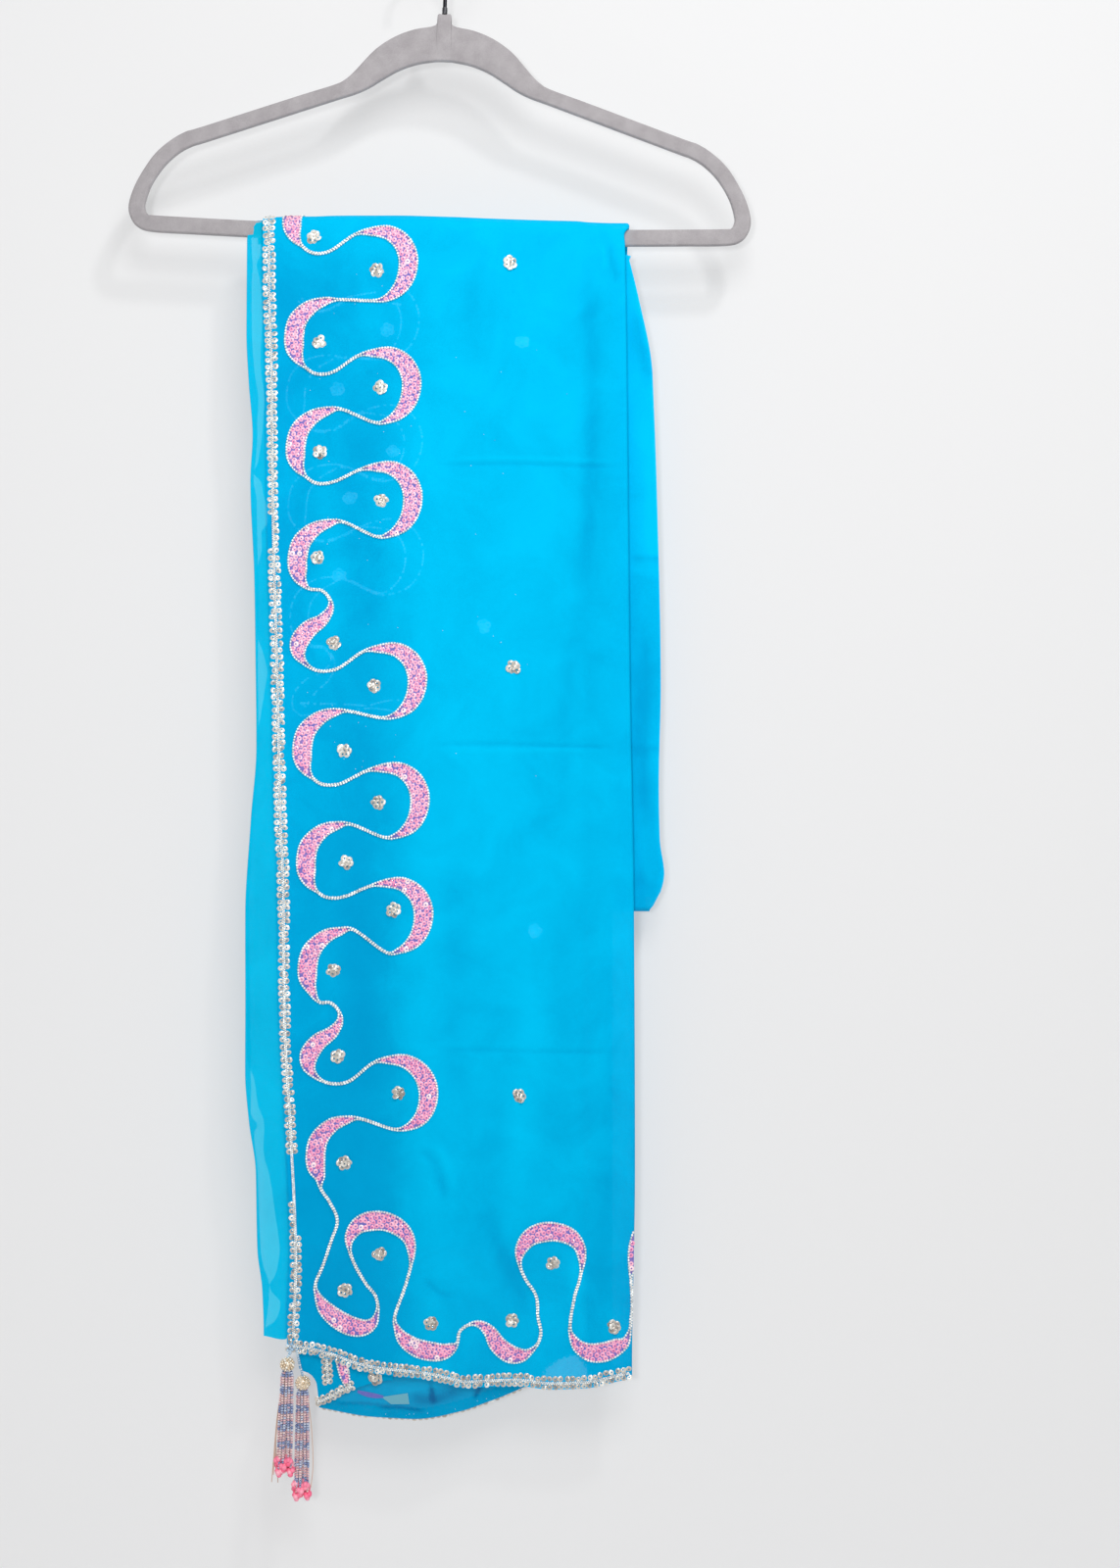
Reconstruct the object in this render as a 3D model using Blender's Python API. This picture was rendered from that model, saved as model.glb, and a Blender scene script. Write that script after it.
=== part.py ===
"""A chiffon saree folded lengthwise and hung over the bar of a slim flocked hanger.

All sizes below are millimetres; space() turns them into metres. The origin is the
seat of the hook, +X is the viewer's right, +Z is up and the front faces -Y.
Every layer of cloth follows one path: up the front, over the bar and down the back.
"""

import functools
import math

import bmesh
import bpy
from mathutils import Matrix, Vector

MM = 0.001
GAP = 0.3

# Hanger sizes
HANGER_TILT = math.radians(1.4)
HANGER_HALF_THICK = 2.75
HANGER_EDGE_ROUND = 1.7
BAR_TOP = 208.3
BAR_HEIGHT = 11.9
BAR_HALF_SPAN = 208.0
BAR_SAG = 4.0
BAR_STATIONS = 7
SLEEVE_RADIUS = 1.9
SLEEVE_BOTTOM = -60.0
SLEEVE_HEIGHT = 5.0
WIRE_RADIUS = 1.4
HOOK_INNER_RADIUS = 19.0

# Cloth sizes
FRONT_WALL = 1.2
LAYER_WALL = 1.0
FOLD_RADIUS = 1.5
FOLD_FLAP = 9.0
HANG_DEPTH = 4.6
RELAX_DROP = 150.0
BACK_DEPTH = 10.5
BACK_SPREAD_DROP = 110.0
OVER_STEPS = 8
OVER_BACK_END = 9.0
LAYER_BACK_END = 8.0
ARC_SEAT = 0.22
BACK_FOOT = -699.0
BUNDLE_FOOT = -701.0
BUNDLE_LAYERS = 3
BUNDLE_COLUMNS = 8
BUNDLE_GROOVE = 1.8
BUNDLE_SLACK = 0.25
LEAF_TOP = -1007.0
LEAF_RIGHT = -38.0

# Rows and columns that every layer of the front shares
FRONT_ROW_COUNT = 20
COLUMN_FROM = -100.0
COLUMN_TO = 113.0
COLUMN_COUNT = 14

# Trim sizes
BORDER_HALF_WIDTH = 4.2
CLOTH_PAST_BORDER = 0.4
TRIM_THICK = 1.0
TRIM_LIFT = 0.45
VINE_LIFT = 0.6
ARC_LIFT = 0.5
LEAF_BORDER_HALF_WIDTH = 3.6
CORD_HALF_WIDTH = 1.3
SPANGLE_RADIUS = 5.0
SPANGLE_TOP_RADIUS = 3.2
SPANGLE_HEIGHT = 1.2
SPANGLE_LIFT = 0.6
SPANGLE_SIDES = 7

# Upper half of the hanger: one row for each station from the neck to the bar's end.
# Columns: outer edge x, outer edge z, inner edge x, inner edge z.
HANGER_STATIONS = (
    (0.0, -60.3, 0.0, -93.9),
    (4.7, -60.3, 4.5, -94.0),
    (6.2, -67.9, 7.5, -94.3),
    (21.0, -71.2, 19.0, -96.4),
    (35.0, -76.7, 31.0, -100.8),
    (49.0, -86.3, 42.0, -107.2),
    (62.8, -101.5, 53.0, -114.2),
    (70.0, -108.2, 63.0, -118.8),
    (78.0, -112.3, 74.0, -122.5),
    (105.0, -121.4, 101.0, -131.9),
    (171.0, -144.4, 167.0, -154.9),
    (183.0, -148.3, 177.0, -158.2),
    (194.0, -155.0, 186.0, -163.0),
    (204.0, -164.0, 195.0, -170.8),
    (212.0, -175.5, 202.0, -180.0),
    (218.5, -188.0, 207.3, -190.0),
    (222.3, -201.0, 210.3, -200.5),
    (221.0, -210.0, 210.0, -204.5),
    (215.5, -217.2, 208.5, -207.6),
)

# Height of the cloth's top above the bar. Columns: x, height.
HEAP = (
    (-143.0, 1.8),
    (-127.0, 2.8),
    (-107.0, 4.2),
    (-95.0, 4.7),
    (-80.0, 5.8),
    (-52.0, 6.9),
    (-25.0, 7.6),
    (3.0, 7.5),
    (31.0, 6.9),
    (73.0, 6.1),
    (92.0, 5.8),
    (102.0, 5.0),
    (121.0, 4.5),
    (150.0, 4.5),
)

# Centre of the side border. Columns: z, x.
SIDE_BORDER = (
    (-213.0, -126.2),
    (-261.0, -126.0),
    (-313.0, -124.2),
    (-414.0, -123.1),
    (-540.0, -119.9),
    (-644.0, -117.5),
    (-680.0, -115.8),
    (-784.0, -114.7),
    (-854.0, -110.8),
    (-958.0, -106.9),
    (-1009.0, -108.6),
)

# Folded right edge of the front stretch. Columns: z, x.
RIGHT_FOLD = (
    (-209.0, 130.5),
    (-214.0, 128.5),
    (-219.0, 126.8),
    (-226.0, 127.3),
    (-400.0, 129.4),
    (-540.0, 130.8),
    (-702.0, 133.6),
    (-889.0, 134.3),
    (-1028.0, 132.2),
)

# Centre of the hem border. Columns: x, z.
HEM_BORDER = (
    (-118.0, -1008.0),
    (-109.0, -1009.0),
    (-84.0, -1014.2),
    (-63.0, -1021.5),
    (-50.0, -1024.4),
    (-11.0, -1028.1),
    (17.0, -1034.6),
    (51.0, -1033.2),
    (74.0, -1035.6),
    (98.0, -1034.4),
    (132.0, -1028.1),
)

# Outer edge of the sheer stretch at the left. Columns: z, x.
SHEER_EDGE = (
    (-208.0, -135.0),
    (-229.0, -142.4),
    (-296.0, -142.6),
    (-331.0, -140.8),
    (-369.0, -138.0),
    (-400.0, -139.6),
    (-470.0, -136.8),
    (-590.0, -135.3),
    (-642.0, -139.2),
    (-707.0, -143.0),
    (-819.0, -143.0),
    (-854.0, -140.4),
    (-889.0, -135.4),
    (-944.0, -134.3),
    (-972.0, -130.8),
    (-1002.0, -129.8),
)

# Bottom of the sheer stretch, raised where the front hides it. Columns: x, z.
SHEER_FOOT = (
    (-145.0, -1000.5),
    (-130.0, -1001.8),
    (-115.0, -1005.0),
    (-110.5, -1000.0),
    (-106.5, -938.0),
    (100.0, -938.0),
)

# Left edge of the pallu's under half. Columns: z, x.
UNDER_EDGE = (
    (-213.0, -105.7),
    (-1018.0, -105.7),
    (-1027.0, -105.0),
    (-1030.0, -97.0),
    (-1037.0, -92.6),
    (-1055.0, -91.0),
)

# Bottom of the pallu's under half. Columns: x, z.
UNDER_FOOT = (
    (-106.0, -1052.0),
    (-88.0, -1055.0),
    (-51.0, -1060.9),
    (-25.0, -1061.8),
    (10.0, -1056.7),
    (31.0, -1050.0),
    (50.0, -1042.0),
    (73.0, -1037.0),
    (125.0, -1024.0),
)

# Bottom of the near leaf of the under half. Columns: x, z.
LEAF_FOOT = (
    (-107.0, -1050.5),
    (-93.0, -1052.0),
    (-69.0, -1041.4),
    (-38.0, -1034.0),
)

# Right edge of the folded bundle behind the bar. Columns: z, x.
BUNDLE_RIGHT = (
    (-220.0, 90.0),
    (-225.0, 104.0),
    (-228.0, 116.0),
    (-230.0, 132.2),
    (-234.0, 130.5),
    (-238.0, 131.5),
    (-261.0, 137.1),
    (-311.0, 146.8),
    (-324.0, 147.5),
    (-400.0, 150.3),
    (-540.0, 153.1),
    (-610.0, 151.7),
    (-649.0, 152.4),
    (-674.0, 155.6),
    (-693.0, 150.6),
    (-701.0, 145.0),
)

# Left edge of the folded bundle. Columns: z, x.
BUNDLE_LEFT = (
    (-218.0, -82.0),
    (-228.0, -96.0),
    (-261.0, -110.0),
    (-311.0, -106.0),
    (-400.0, -101.0),
    (-540.0, -98.0),
    (-701.0, -98.0),
)

# Left edge of the stretch that shows at the back. Columns: z, x.
BACK_LEFT = (
    (-226.0, -130.2),
    (-261.0, -123.0),
    (-324.0, -111.0),
    (-400.0, -107.0),
    (-540.0, -104.0),
    (-701.0, -104.0),
)

# Crescent near the border. Columns: along the border, away from it, half width.
NEAR_CRESCENT = (
    (-23.0, 50.0, 1.3),
    (-22.5, 40.0, 3.4),
    (-19.0, 29.0, 5.6),
    (-10.5, 20.0, 7.0),
    (0.0, 16.8, 7.3),
    (9.5, 16.8, 6.8),
    (17.0, 19.0, 4.2),
    (23.5, 24.0, 1.3),
    (28.5, 32.0, 1.3),
    (28.0, 44.0, 1.3),
)

# Crescent away from the border, with the same columns.
FAR_CRESCENT = (
    (-20.5, 61.0, 1.3),
    (-22.5, 73.0, 3.4),
    (-21.5, 85.0, 5.4),
    (-15.0, 94.5, 6.8),
    (-5.5, 99.0, 7.3),
    (4.5, 99.0, 7.0),
    (13.5, 96.0, 6.2),
    (20.5, 90.5, 4.8),
    (25.5, 82.0, 2.6),
    (26.5, 72.0, 1.3),
)

# Near crescent after a small turn of the cord, with the same columns.
HOOKED_CRESCENT = (
    (-33.5, 24.4, 1.3),
    (-32.0, 32.8, 1.3),
    (-25.5, 38.6, 1.4),
    (-18.0, 38.8, 3.0),
    (-10.5, 32.8, 5.0),
    (-5.0, 23.5, 6.6),
    (3.5, 16.6, 7.0),
    (11.5, 15.6, 5.4),
    (18.0, 18.8, 2.6),
    (23.7, 25.8, 1.3),
    (25.8, 34.2, 1.3),
    (23.7, 44.6, 1.3),
)

# Crescent of the hem's run that opens upwards, with the same columns.
CUP_CRESCENT = (
    (-23.0, 38.0, 1.3),
    (-21.5, 30.0, 2.6),
    (-16.5, 22.5, 5.4),
    (-8.0, 17.5, 6.9),
    (2.0, 16.0, 7.2),
    (11.0, 17.5, 6.2),
    (17.5, 22.0, 4.2),
    (20.5, 28.5, 2.2),
    (21.3, 36.0, 1.3),
    (19.0, 43.0, 1.3),
)

# Crescent of the hem's run that opens downwards, with the same columns.
ARCH_CRESCENT = (
    (-10.5, 53.0, 1.3),
    (-18.5, 64.5, 1.3),
    (-22.3, 74.5, 1.8),
    (-21.8, 83.5, 4.2),
    (-16.0, 93.0, 6.2),
    (-7.0, 98.5, 7.3),
    (3.5, 99.5, 7.0),
    (13.5, 96.0, 6.4),
    (20.0, 89.0, 4.8),
    (22.0, 80.0, 3.2),
    (21.5, 71.0, 1.5),
    (19.5, 62.0, 1.3),
    (16.5, 52.0, 1.3),
)

UNITS = {
    "near": NEAR_CRESCENT,
    "short": NEAR_CRESCENT[:-3],
    "far": FAR_CRESCENT,
    "hooked": HOOKED_CRESCENT,
    "cup": CUP_CRESCENT,
    "short cup": CUP_CRESCENT[:-3],
    "arch": ARCH_CRESCENT,
}

# The vine down the front. Columns: unit, step down the path, spangle's place
# along and away from the border. The first step starts at the crest.
SIDE_TURNS = (
    ("near", 3.5, 17.0, 32.0),
    ("far", 38.0, 5.0, 77.0),
    ("near", 48.0, 6.0, 34.5),
    ("far", 38.0, 2.0, 77.0),
    ("near", 40.0, 6.0, 34.0),
    ("far", 41.0, 1.0, 77.0),
    ("short", 39.0, 1.0, 31.0),
    ("hooked", 56.5, 6.0, 41.0),
    ("far", 33.5, 4.0, 68.5),
    ("near", 44.5, 5.0, 46.5),
    ("far", 40.5, 2.0, 69.5),
    ("near", 40.0, 4.0, 45.0),
    ("far", 41.8, -3.5, 78.0),
    ("short", 33.5, 5.0, 35.0),
    ("hooked", 60.0, 6.0, 37.0),
    ("far", 32.3, 1.0, 78.0),
    ("short", 42.0, 8.0, 37.0),
)

# The vine along the hem. Columns: unit, centre x, rise, spangle's place along
# and away from the hem.
HEM_TURNS = (
    ("cup", -70.0, 9.0, -2.0, 49.0),
    ("arch", -46.5, 5.0, -1.0, 81.0),
    ("short cup", -13.5, 0.0, 3.0, 36.0),
    ("hooked", 41.5, 2.0, 5.0, 42.0),
    ("arch", 74.5, 8.0, 1.5, 85.0),
    ("cup", 111.0, 3.0, 8.0, 35.0),
)
HEM_VINE_END = 127.5

# Where the vine turns the corner from the side to the hem. Columns: x, z.
CORNER_CORD = (
    (-89.3, -897.0),
    (-82.8, -907.0),
    (-77.4, -920.0),
    (-82.0, -935.0),
    (-87.5, -951.5),
)

# Spangles on the open field of the front. Columns: x, z.
FIELD_SPANGLES = ((45.7, -239.2), (47.8, -526.6), (52.0, -831.4))

# Rows of the back stretch and of the bundle, and the layer's own rows at its foot
BACK_PARTS = (0.0, 0.03, 0.07, 0.13, 0.2, 0.28, 0.4, 0.5, 0.6, 0.7, 0.8, 0.9, 0.96, 1.0)
BUNDLE_DROPS = (8.0, 11.5, 15.0, 18.5, 23.0, 46.0, 70.0, 96.0, 109.0, 147.0, 185.0, 255.0)
BUNDLE_DROPS += (325.0, 395.0, 434.0, 459.0, 470.0, 478.0, 483.0)
UNDER_FOOT_PARTS = (0.75, 0.45)

# The vine at the back: its turns, and where each run starts and ends from the crest
BACK_TURN_PITCH = 40.0
BACK_TURN_COUNT = 12
NEAR_BACK_ALONG = 26.5
FAR_BACK_ALONG = 478.0
FRONT_VINE_START = 3.0
ROUND_REACH = 34.0
BACK_SPANGLE_ALONG = 4.0
BACK_SPANGLE_AWAY = {"near": 37.0, "far": 75.0}

# Tassels at the hem's left corner. Columns: head x, y and z, head radius, lean of
# the strands in x, their length, ring of the buds, root x, y and z.
TASSELS = {
    "tassel_1": (-112.3, -13.2, -1020.8, 5.4, -2.2, 74.0, 4.9, -110.4, -7.2, -1014.0),
    "tassel_2": (-102.2, -6.2, -1035.8, 5.6, 0.7, 78.0, 3.5, -106.4, -7.3, -1014.4),
}
STRANDS = 7
STRAND_SIDES = 4
STRAND_RADIUS = 0.95
STRAND_RING = 2.4
STRAND_RING_DEPTH = 0.75
BUD_RADIUS = 1.45
BUD_LENGTH = 7.0
BUD_STAGGER = 8.0
LINK_RADIUS = 1.1
LINK_FORWARD = 0.9

def smooth(value):
    """Zero to one with level ends."""
    part = min(1.0, max(0.0, value))
    return part * part * (3.0 - 2.0 * part)


def between(low, high, part):
    return low + (high - low) * part


def read(table, key):
    """The second column of a table at a key, along a smooth curve through its rows."""
    rows = sorted(table)
    if key <= rows[0][0]:
        return rows[0][1]
    if key >= rows[-1][0]:
        return rows[-1][1]
    last = len(rows) - 1
    place = next(i for i in range(last) if key <= rows[i + 1][0])
    width = rows[place + 1][0] - rows[place][0]
    slopes = []
    for i in (place, place + 1):
        if 0 < i < last:
            before = (rows[i][1] - rows[i - 1][1]) / (rows[i][0] - rows[i - 1][0])
            after = (rows[i + 1][1] - rows[i][1]) / (rows[i + 1][0] - rows[i][0])
            level = before * after <= 0.0
            slopes.append(0.0 if level else 2.0 * before * after / (before + after))
        else:
            slopes.append(0.0)
    part = (key - rows[place][0]) / width
    rise = rows[place + 1][1] - rows[place][1]
    value = rows[place][1] + rise * smooth(part)
    value += width * slopes[0] * part * (1.0 - part) ** 2
    return value - width * slopes[1] * part**2 * (1.0 - part)


def space(x, y, z):
    return Vector((x * MM, y * MM, z * MM))


def tilted(x, y, z):
    """A point of the hanger's own frame, turned about the hook's seat."""
    across = x * math.cos(HANGER_TILT) + z * math.sin(HANGER_TILT)
    height = z * math.cos(HANGER_TILT) - x * math.sin(HANGER_TILT)
    return space(across, y, height)


def bar_sag(along):
    return BAR_SAG * (1.0 - (along / BAR_HALF_SPAN) ** 2)


def round_centre(x):
    """Height of the middle of the bar's rounded top, under the cloth at x."""
    along = x + BAR_TOP * math.sin(HANGER_TILT)
    top = (BAR_TOP + bar_sag(along)) * math.cos(HANGER_TILT)
    return -top - along * math.sin(HANGER_TILT) - HANGER_HALF_THICK


def ripple(x, drop):
    """Soft upright folds of the front, deeper towards the hem."""
    wide = 1.7 * math.sin(math.tau * (x / 121.0 + drop / 2600.0 + 0.08))
    narrow = 0.8 * math.sin(math.tau * (x / 63.0 - drop / 1900.0 - 0.2))
    trough_x = 102.0 - 22.0 * smooth((drop - 300.0) / 350.0)
    trough = 1.5 * math.exp(-(((x - trough_x) / 12.0) ** 2))
    trough *= smooth(drop / 60.0) * (1.0 - smooth((drop - 250.0) / 450.0))
    return (wide + narrow) * smooth(drop / 750.0) - trough


def front_depth(x, drop):
    """Middle of the front wall, measured out from the bar's side."""
    heaped = read(HEAP, x) - FRONT_WALL / 2.0
    relaxed = between(heaped, HANG_DEPTH, smooth(drop / RELAX_DROP))
    return relaxed + ripple(x, drop)


def hem_foot(x):
    return read(HEM_BORDER, x) - BORDER_HALF_WIDTH - CLOTH_PAST_BORDER


def front_edges(height, crest=0.0):
    """Left edge of the front wall and the start of its turn at the right."""
    left = read(SIDE_BORDER, height(-125.0)) - BORDER_HALF_WIDTH - CLOTH_PAST_BORDER
    fold = between(read(RIGHT_FOLD, height(129.0)), RIGHT_FOLD[0][1], crest)
    return left, fold - FOLD_RADIUS - FRONT_WALL / 2.0


def shared_columns():
    return [between(COLUMN_FROM, COLUMN_TO, i / COLUMN_COUNT) for i in range(COLUMN_COUNT + 1)]


def front_columns(height, crest=0.0):
    left, right = front_edges(height, crest)
    return [left, (left + COLUMN_FROM) / 2.0] + shared_columns() + [right]


def front_height(place):
    """Height of a shared row of the front, as a function of x."""
    return lambda x: between(round_centre(x), hem_foot(x), place)


@functools.lru_cache(maxsize=None)
def front_line(index):
    """Points of one shared row: x and depth."""
    height = front_height(index / FRONT_ROW_COUNT)
    return [(x, front_depth(x, round_centre(x) - height(x))) for x in front_columns(height)]


def depth_on_line(index, x):
    line = front_line(index)
    if x <= line[0][0]:
        place = index / FRONT_ROW_COUNT
        return front_depth(x, place * (round_centre(x) - hem_foot(x)))
    last = len(line) - 1
    i = next((k for k in range(last) if x <= line[k + 1][0]), last - 1)
    part = (x - line[i][0]) / (line[i + 1][0] - line[i][0])
    return between(line[i][1], line[i + 1][1], part)


def front_surface(x, drop):
    """Depth of the front's middle between its own rows and columns."""
    place = FRONT_ROW_COUNT * max(0.0, drop) / (round_centre(x) - hem_foot(x))
    low = min(FRONT_ROW_COUNT, int(place))
    return between(depth_on_line(low, x), depth_on_line(low + 1, x), place - low)


def under_depth(x, drop):
    spread = 2.3 * smooth((drop - 765.0) / 28.0)
    return front_surface(x, drop) - FRONT_WALL / 2 - GAP - LAYER_WALL / 2 - spread


def leaf_depth(x, drop):
    return front_surface(x, drop) - FRONT_WALL / 2 - 2 * GAP - LAYER_WALL / 2


def sheer_depth(x, drop):
    """The sheer stretch lies behind the front at its edge and behind both further in."""
    edge_gap = FRONT_WALL / 2 + GAP + LAYER_WALL / 2
    inner_gap = edge_gap + GAP + LAYER_WALL
    step = smooth((x - UNDER_EDGE[0][1] + 13.0) / 10.0)
    depth = front_surface(x, drop) - between(edge_gap, inner_gap, step)
    seat = GAP + LAYER_WALL / 2 - 10.0 * smooth((drop - 10.0) / 60.0)
    free = smooth((-131.0 - x) / 4.0) * smooth(drop / 400.0)
    return max(depth, seat) + 0.5 * free * math.sin(math.tau * drop / 95.0)


def back_depth(x, drop):
    """Middle of the back wall, measured out from the bar's other side."""
    heaped = read(HEAP, x) - FRONT_WALL / 2.0
    wave = 0.9 * math.sin(math.tau * (x / 150.0 + 0.3)) * smooth((drop - 60.0) / 200.0)
    spread = smooth((drop - OVER_BACK_END) / BACK_SPREAD_DROP)
    return between(heaped, BACK_DEPTH, spread) + wave


def bundle_outer(x, drop):
    thin = read(HEAP, x) - FRONT_WALL - 2 * LAYER_WALL - 3 * GAP - BUNDLE_SLACK
    full = back_depth(x, drop) - FRONT_WALL / 2 - GAP - BUNDLE_SLACK
    return between(thin, full, smooth((drop - LAYER_BACK_END - 0.5) / 7.0))


def height_on(x, row):
    """Height of a row at x. A row is a side and a height, or the bar's round and a turn."""
    return round_centre(x) if row[0] == "over" else row[1](x)


def front_drop(x, row):
    return round_centre(x) - row[1](x) if row[0] == "front" else 0.0


def on_path(x, depth, row):
    """The point at a depth out from the bar, on a row of the cloth's path."""
    radius = HANGER_HALF_THICK + depth
    if row[0] == "over":
        radius += ARC_SEAT * math.cos(row[1]) ** 2
        return space(x, radius * math.sin(row[1]), round_centre(x) + radius * math.cos(row[1]))
    side = -1.0 if row[0] == "front" else 1.0
    return space(x, side * radius, row[1](x))


def over_rows():
    return [("over", math.pi * (i / OVER_STEPS - 0.5)) for i in range(OVER_STEPS + 1)]


def back_row(drop):
    return ("back", lambda x: round_centre(x) - drop)


def front_rows(count):
    """Shared rows of the front from the given number up to the first below the bar."""
    return [("front", front_height(i / FRONT_ROW_COUNT)) for i in range(count, 0, -1)]


def even(count, start=0.0, end=1.0):
    return [between(start, end, i / count) for i in range(count + 1)]


def material(name, colour, roughness, metallic=0.0):
    made = bpy.data.materials.new(name)
    made.use_nodes = True
    shader = made.node_tree.nodes["Principled BSDF"]
    shader.inputs["Base Color"].default_value = (*colour, 1.0)
    shader.inputs["Roughness"].default_value = roughness
    shader.inputs["Metallic"].default_value = metallic
    made.diffuse_color = (*colour, 1.0)
    return made


def collection(name):
    made = bpy.data.collections.new(name)
    bpy.context.scene.collection.children.link(made)
    return made


def add_object(name, mesh, finish, home):
    mesh.materials.clear()
    mesh.materials.append(finish)
    made = bpy.data.objects.new(name, mesh)
    home.objects.link(made)
    return made


def mesh_from(name, form):
    bmesh.ops.recalc_face_normals(form, faces=form.faces)
    mesh = bpy.data.meshes.new(name)
    form.to_mesh(mesh)
    form.free()
    mesh.shade_smooth()
    mesh.set_sharp_from_angle(angle=math.radians(40.0))
    return mesh


def loft(name, rings, finish, home, closed=False, flat_caps=False):
    """A closed body through rings of equal length, each a loop of points."""
    form = bmesh.new()
    loops = [[form.verts.new(point) for point in ring] for ring in rings]
    size = len(loops[0])
    pairs = list(zip(loops, loops[1:]))
    if closed:
        pairs.append((loops[-1], loops[0]))
    for low, high in pairs:
        for i in range(size):
            j = (i + 1) % size
            if i < size // 2:
                form.faces.new((low[i], low[j], high[j]))
                form.faces.new((low[i], high[j], high[i]))
            else:
                form.faces.new((low[i], low[j], high[i]))
                form.faces.new((low[j], high[j], high[i]))
    for loop in [] if closed else [loops[0], loops[-1]]:
        if flat_caps:
            form.faces.new(loop)
            continue
        for i in range(size // 2 - 1):
            form.faces.new((loop[i], loop[i + 1], loop[size - 2 - i], loop[size - 1 - i]))
    return add_object(name, mesh_from(name, form), finish, home)


def wall_ring(section, thickness, row):
    """The loop round a wall at one row, from the line through its middle."""
    outer = []
    inner = []
    last = len(section) - 1
    for i, (x, depth) in enumerate(section):
        before = section[max(0, i - 1)]
        after = section[min(last, i + 1)]
        run = Vector((after[0] - before[0], after[1] - before[1])).normalized()
        shift_x = -run.y * thickness / 2.0
        shift_depth = run.x * thickness / 2.0
        outer.append(on_path(x + shift_x, depth + shift_depth, row))
        inner.append(on_path(x - shift_x, depth - shift_depth, row))
    return outer + inner[::-1]


def cloth_wall(name, rows, section_at, thickness, finish, home):
    rings = [wall_ring(section_at(row), thickness, row) for row in rows]
    return loft(name, rings, finish, home)


def layer_points(columns, depth, row):
    return [(x, depth(x, front_drop(x, row))) for x in columns]


def hanger_ring(outer, inner):
    """Section of the flat frame between its outer and inner edge, with rounded edges."""
    across = Vector((inner[0] - outer[0], inner[1] - outer[1])).normalized()
    flat = HANGER_HALF_THICK
    thin = HANGER_HALF_THICK - HANGER_EDGE_ROUND
    ring = []
    for edge, way, order in ((outer, across, (1, -1)), (inner, -across, (-1, 1))):
        shoulder = (edge[0] + way.x * HANGER_EDGE_ROUND, edge[1] + way.y * HANGER_EDGE_ROUND)
        depths = [(shoulder, order[0] * flat), (edge, order[0] * thin)]
        depths += [(edge, order[1] * thin), (shoulder, order[1] * flat)]
        ring += [tilted(place[0], depth, place[1]) for place, depth in depths]
    return ring


def build_hanger(finish, wire, home):
    pairs = [((ox, oz), (ix, iz)) for ox, oz, ix, iz in HANGER_STATIONS]
    for along in even(BAR_STATIONS, BAR_HALF_SPAN - 3.0, 0.0):
        top = -BAR_TOP - bar_sag(along)
        pairs.append(((along, top - BAR_HEIGHT), (along, top)))
    mirrored = [((-o[0], o[1]), (-i[0], i[1])) for o, i in pairs[-2:0:-1]]
    rings = [hanger_ring(o, i) for o, i in pairs + mirrored]
    loft("hanger_frame", rings, finish, home, closed=True)
    sleeve = bmesh.new()
    lift = tilted(0.0, 0.0, SLEEVE_BOTTOM + SLEEVE_HEIGHT / 2.0)
    place = Matrix.Translation(lift) @ Matrix.Rotation(HANGER_TILT, 4, "Y")
    bmesh.ops.create_cone(
        sleeve,
        cap_ends=True,
        segments=12,
        radius1=SLEEVE_RADIUS * MM,
        radius2=SLEEVE_RADIUS * MM,
        depth=SLEEVE_HEIGHT * MM,
        matrix=place,
    )
    add_object("hook_sleeve", mesh_from("hook_sleeve", sleeve), finish, home)
    build_hook(wire, home)


def hook_route():
    """Points of the wire: up the shank, out to the side and round the top."""
    radius = HOOK_INNER_RADIUS + WIRE_RADIUS
    centre = -HOOK_INNER_RADIUS
    start = Vector((0.0, SLEEVE_BOTTOM + SLEEVE_HEIGHT + GAP))
    bend = Vector((0.0, -47.0))
    join_angle = math.radians(-48.0)
    join = Vector((radius * math.cos(join_angle), centre + radius * math.sin(join_angle)))
    leave = Vector((-math.sin(join_angle), math.cos(join_angle)))
    points = [start, bend]
    for i in range(1, 5):
        part = i / 5.0
        one = bend + Vector((0.0, 6.0))
        two = join - leave * 6.0
        points.append(
            bend * (1 - part) ** 3
            + one * 3 * part * (1 - part) ** 2
            + two * 3 * part**2 * (1 - part)
            + join * part**3
        )
    for angle in even(20, -48.0, 196.0):
        turn = math.radians(angle)
        points.append(Vector((radius * math.cos(turn), centre + radius * math.sin(turn))))
    return [tilted(point.x, 0.0, point.y) for point in points]


def build_hook(finish, home):
    route = hook_route()
    form = bmesh.new()
    tube(form, route, [WIRE_RADIUS] * len(route), 8)
    add_object("hanger_hook", mesh_from("hanger_hook", form), finish, home)


def sheer_foot(x):
    return read(SHEER_FOOT, x)


def under_foot(x):
    return read(UNDER_FOOT, x)


def leaf_foot(x):
    return read(LEAF_FOOT, x)


def back_start(x):
    return round_centre(x) - OVER_BACK_END - GAP


def front_section(row):
    """The front wall, then its turn at the right and the flap behind it."""
    crest = math.cos(row[1]) if row[0] == "over" else 0.0
    columns = front_columns(lambda x: height_on(x, row), crest)
    points = layer_points(columns, front_surface, row)
    turn_x, top = points[-1]
    for angle in even(4, 90.0, -90.0)[1:]:
        turn = math.radians(angle)
        depth = top - FOLD_RADIUS + FOLD_RADIUS * math.sin(turn)
        points.append((turn_x + FOLD_RADIUS * math.cos(turn), depth))
    points.append((turn_x + FOLD_RADIUS - FOLD_FLAP, top - 2.0 * FOLD_RADIUS))
    return points


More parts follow.
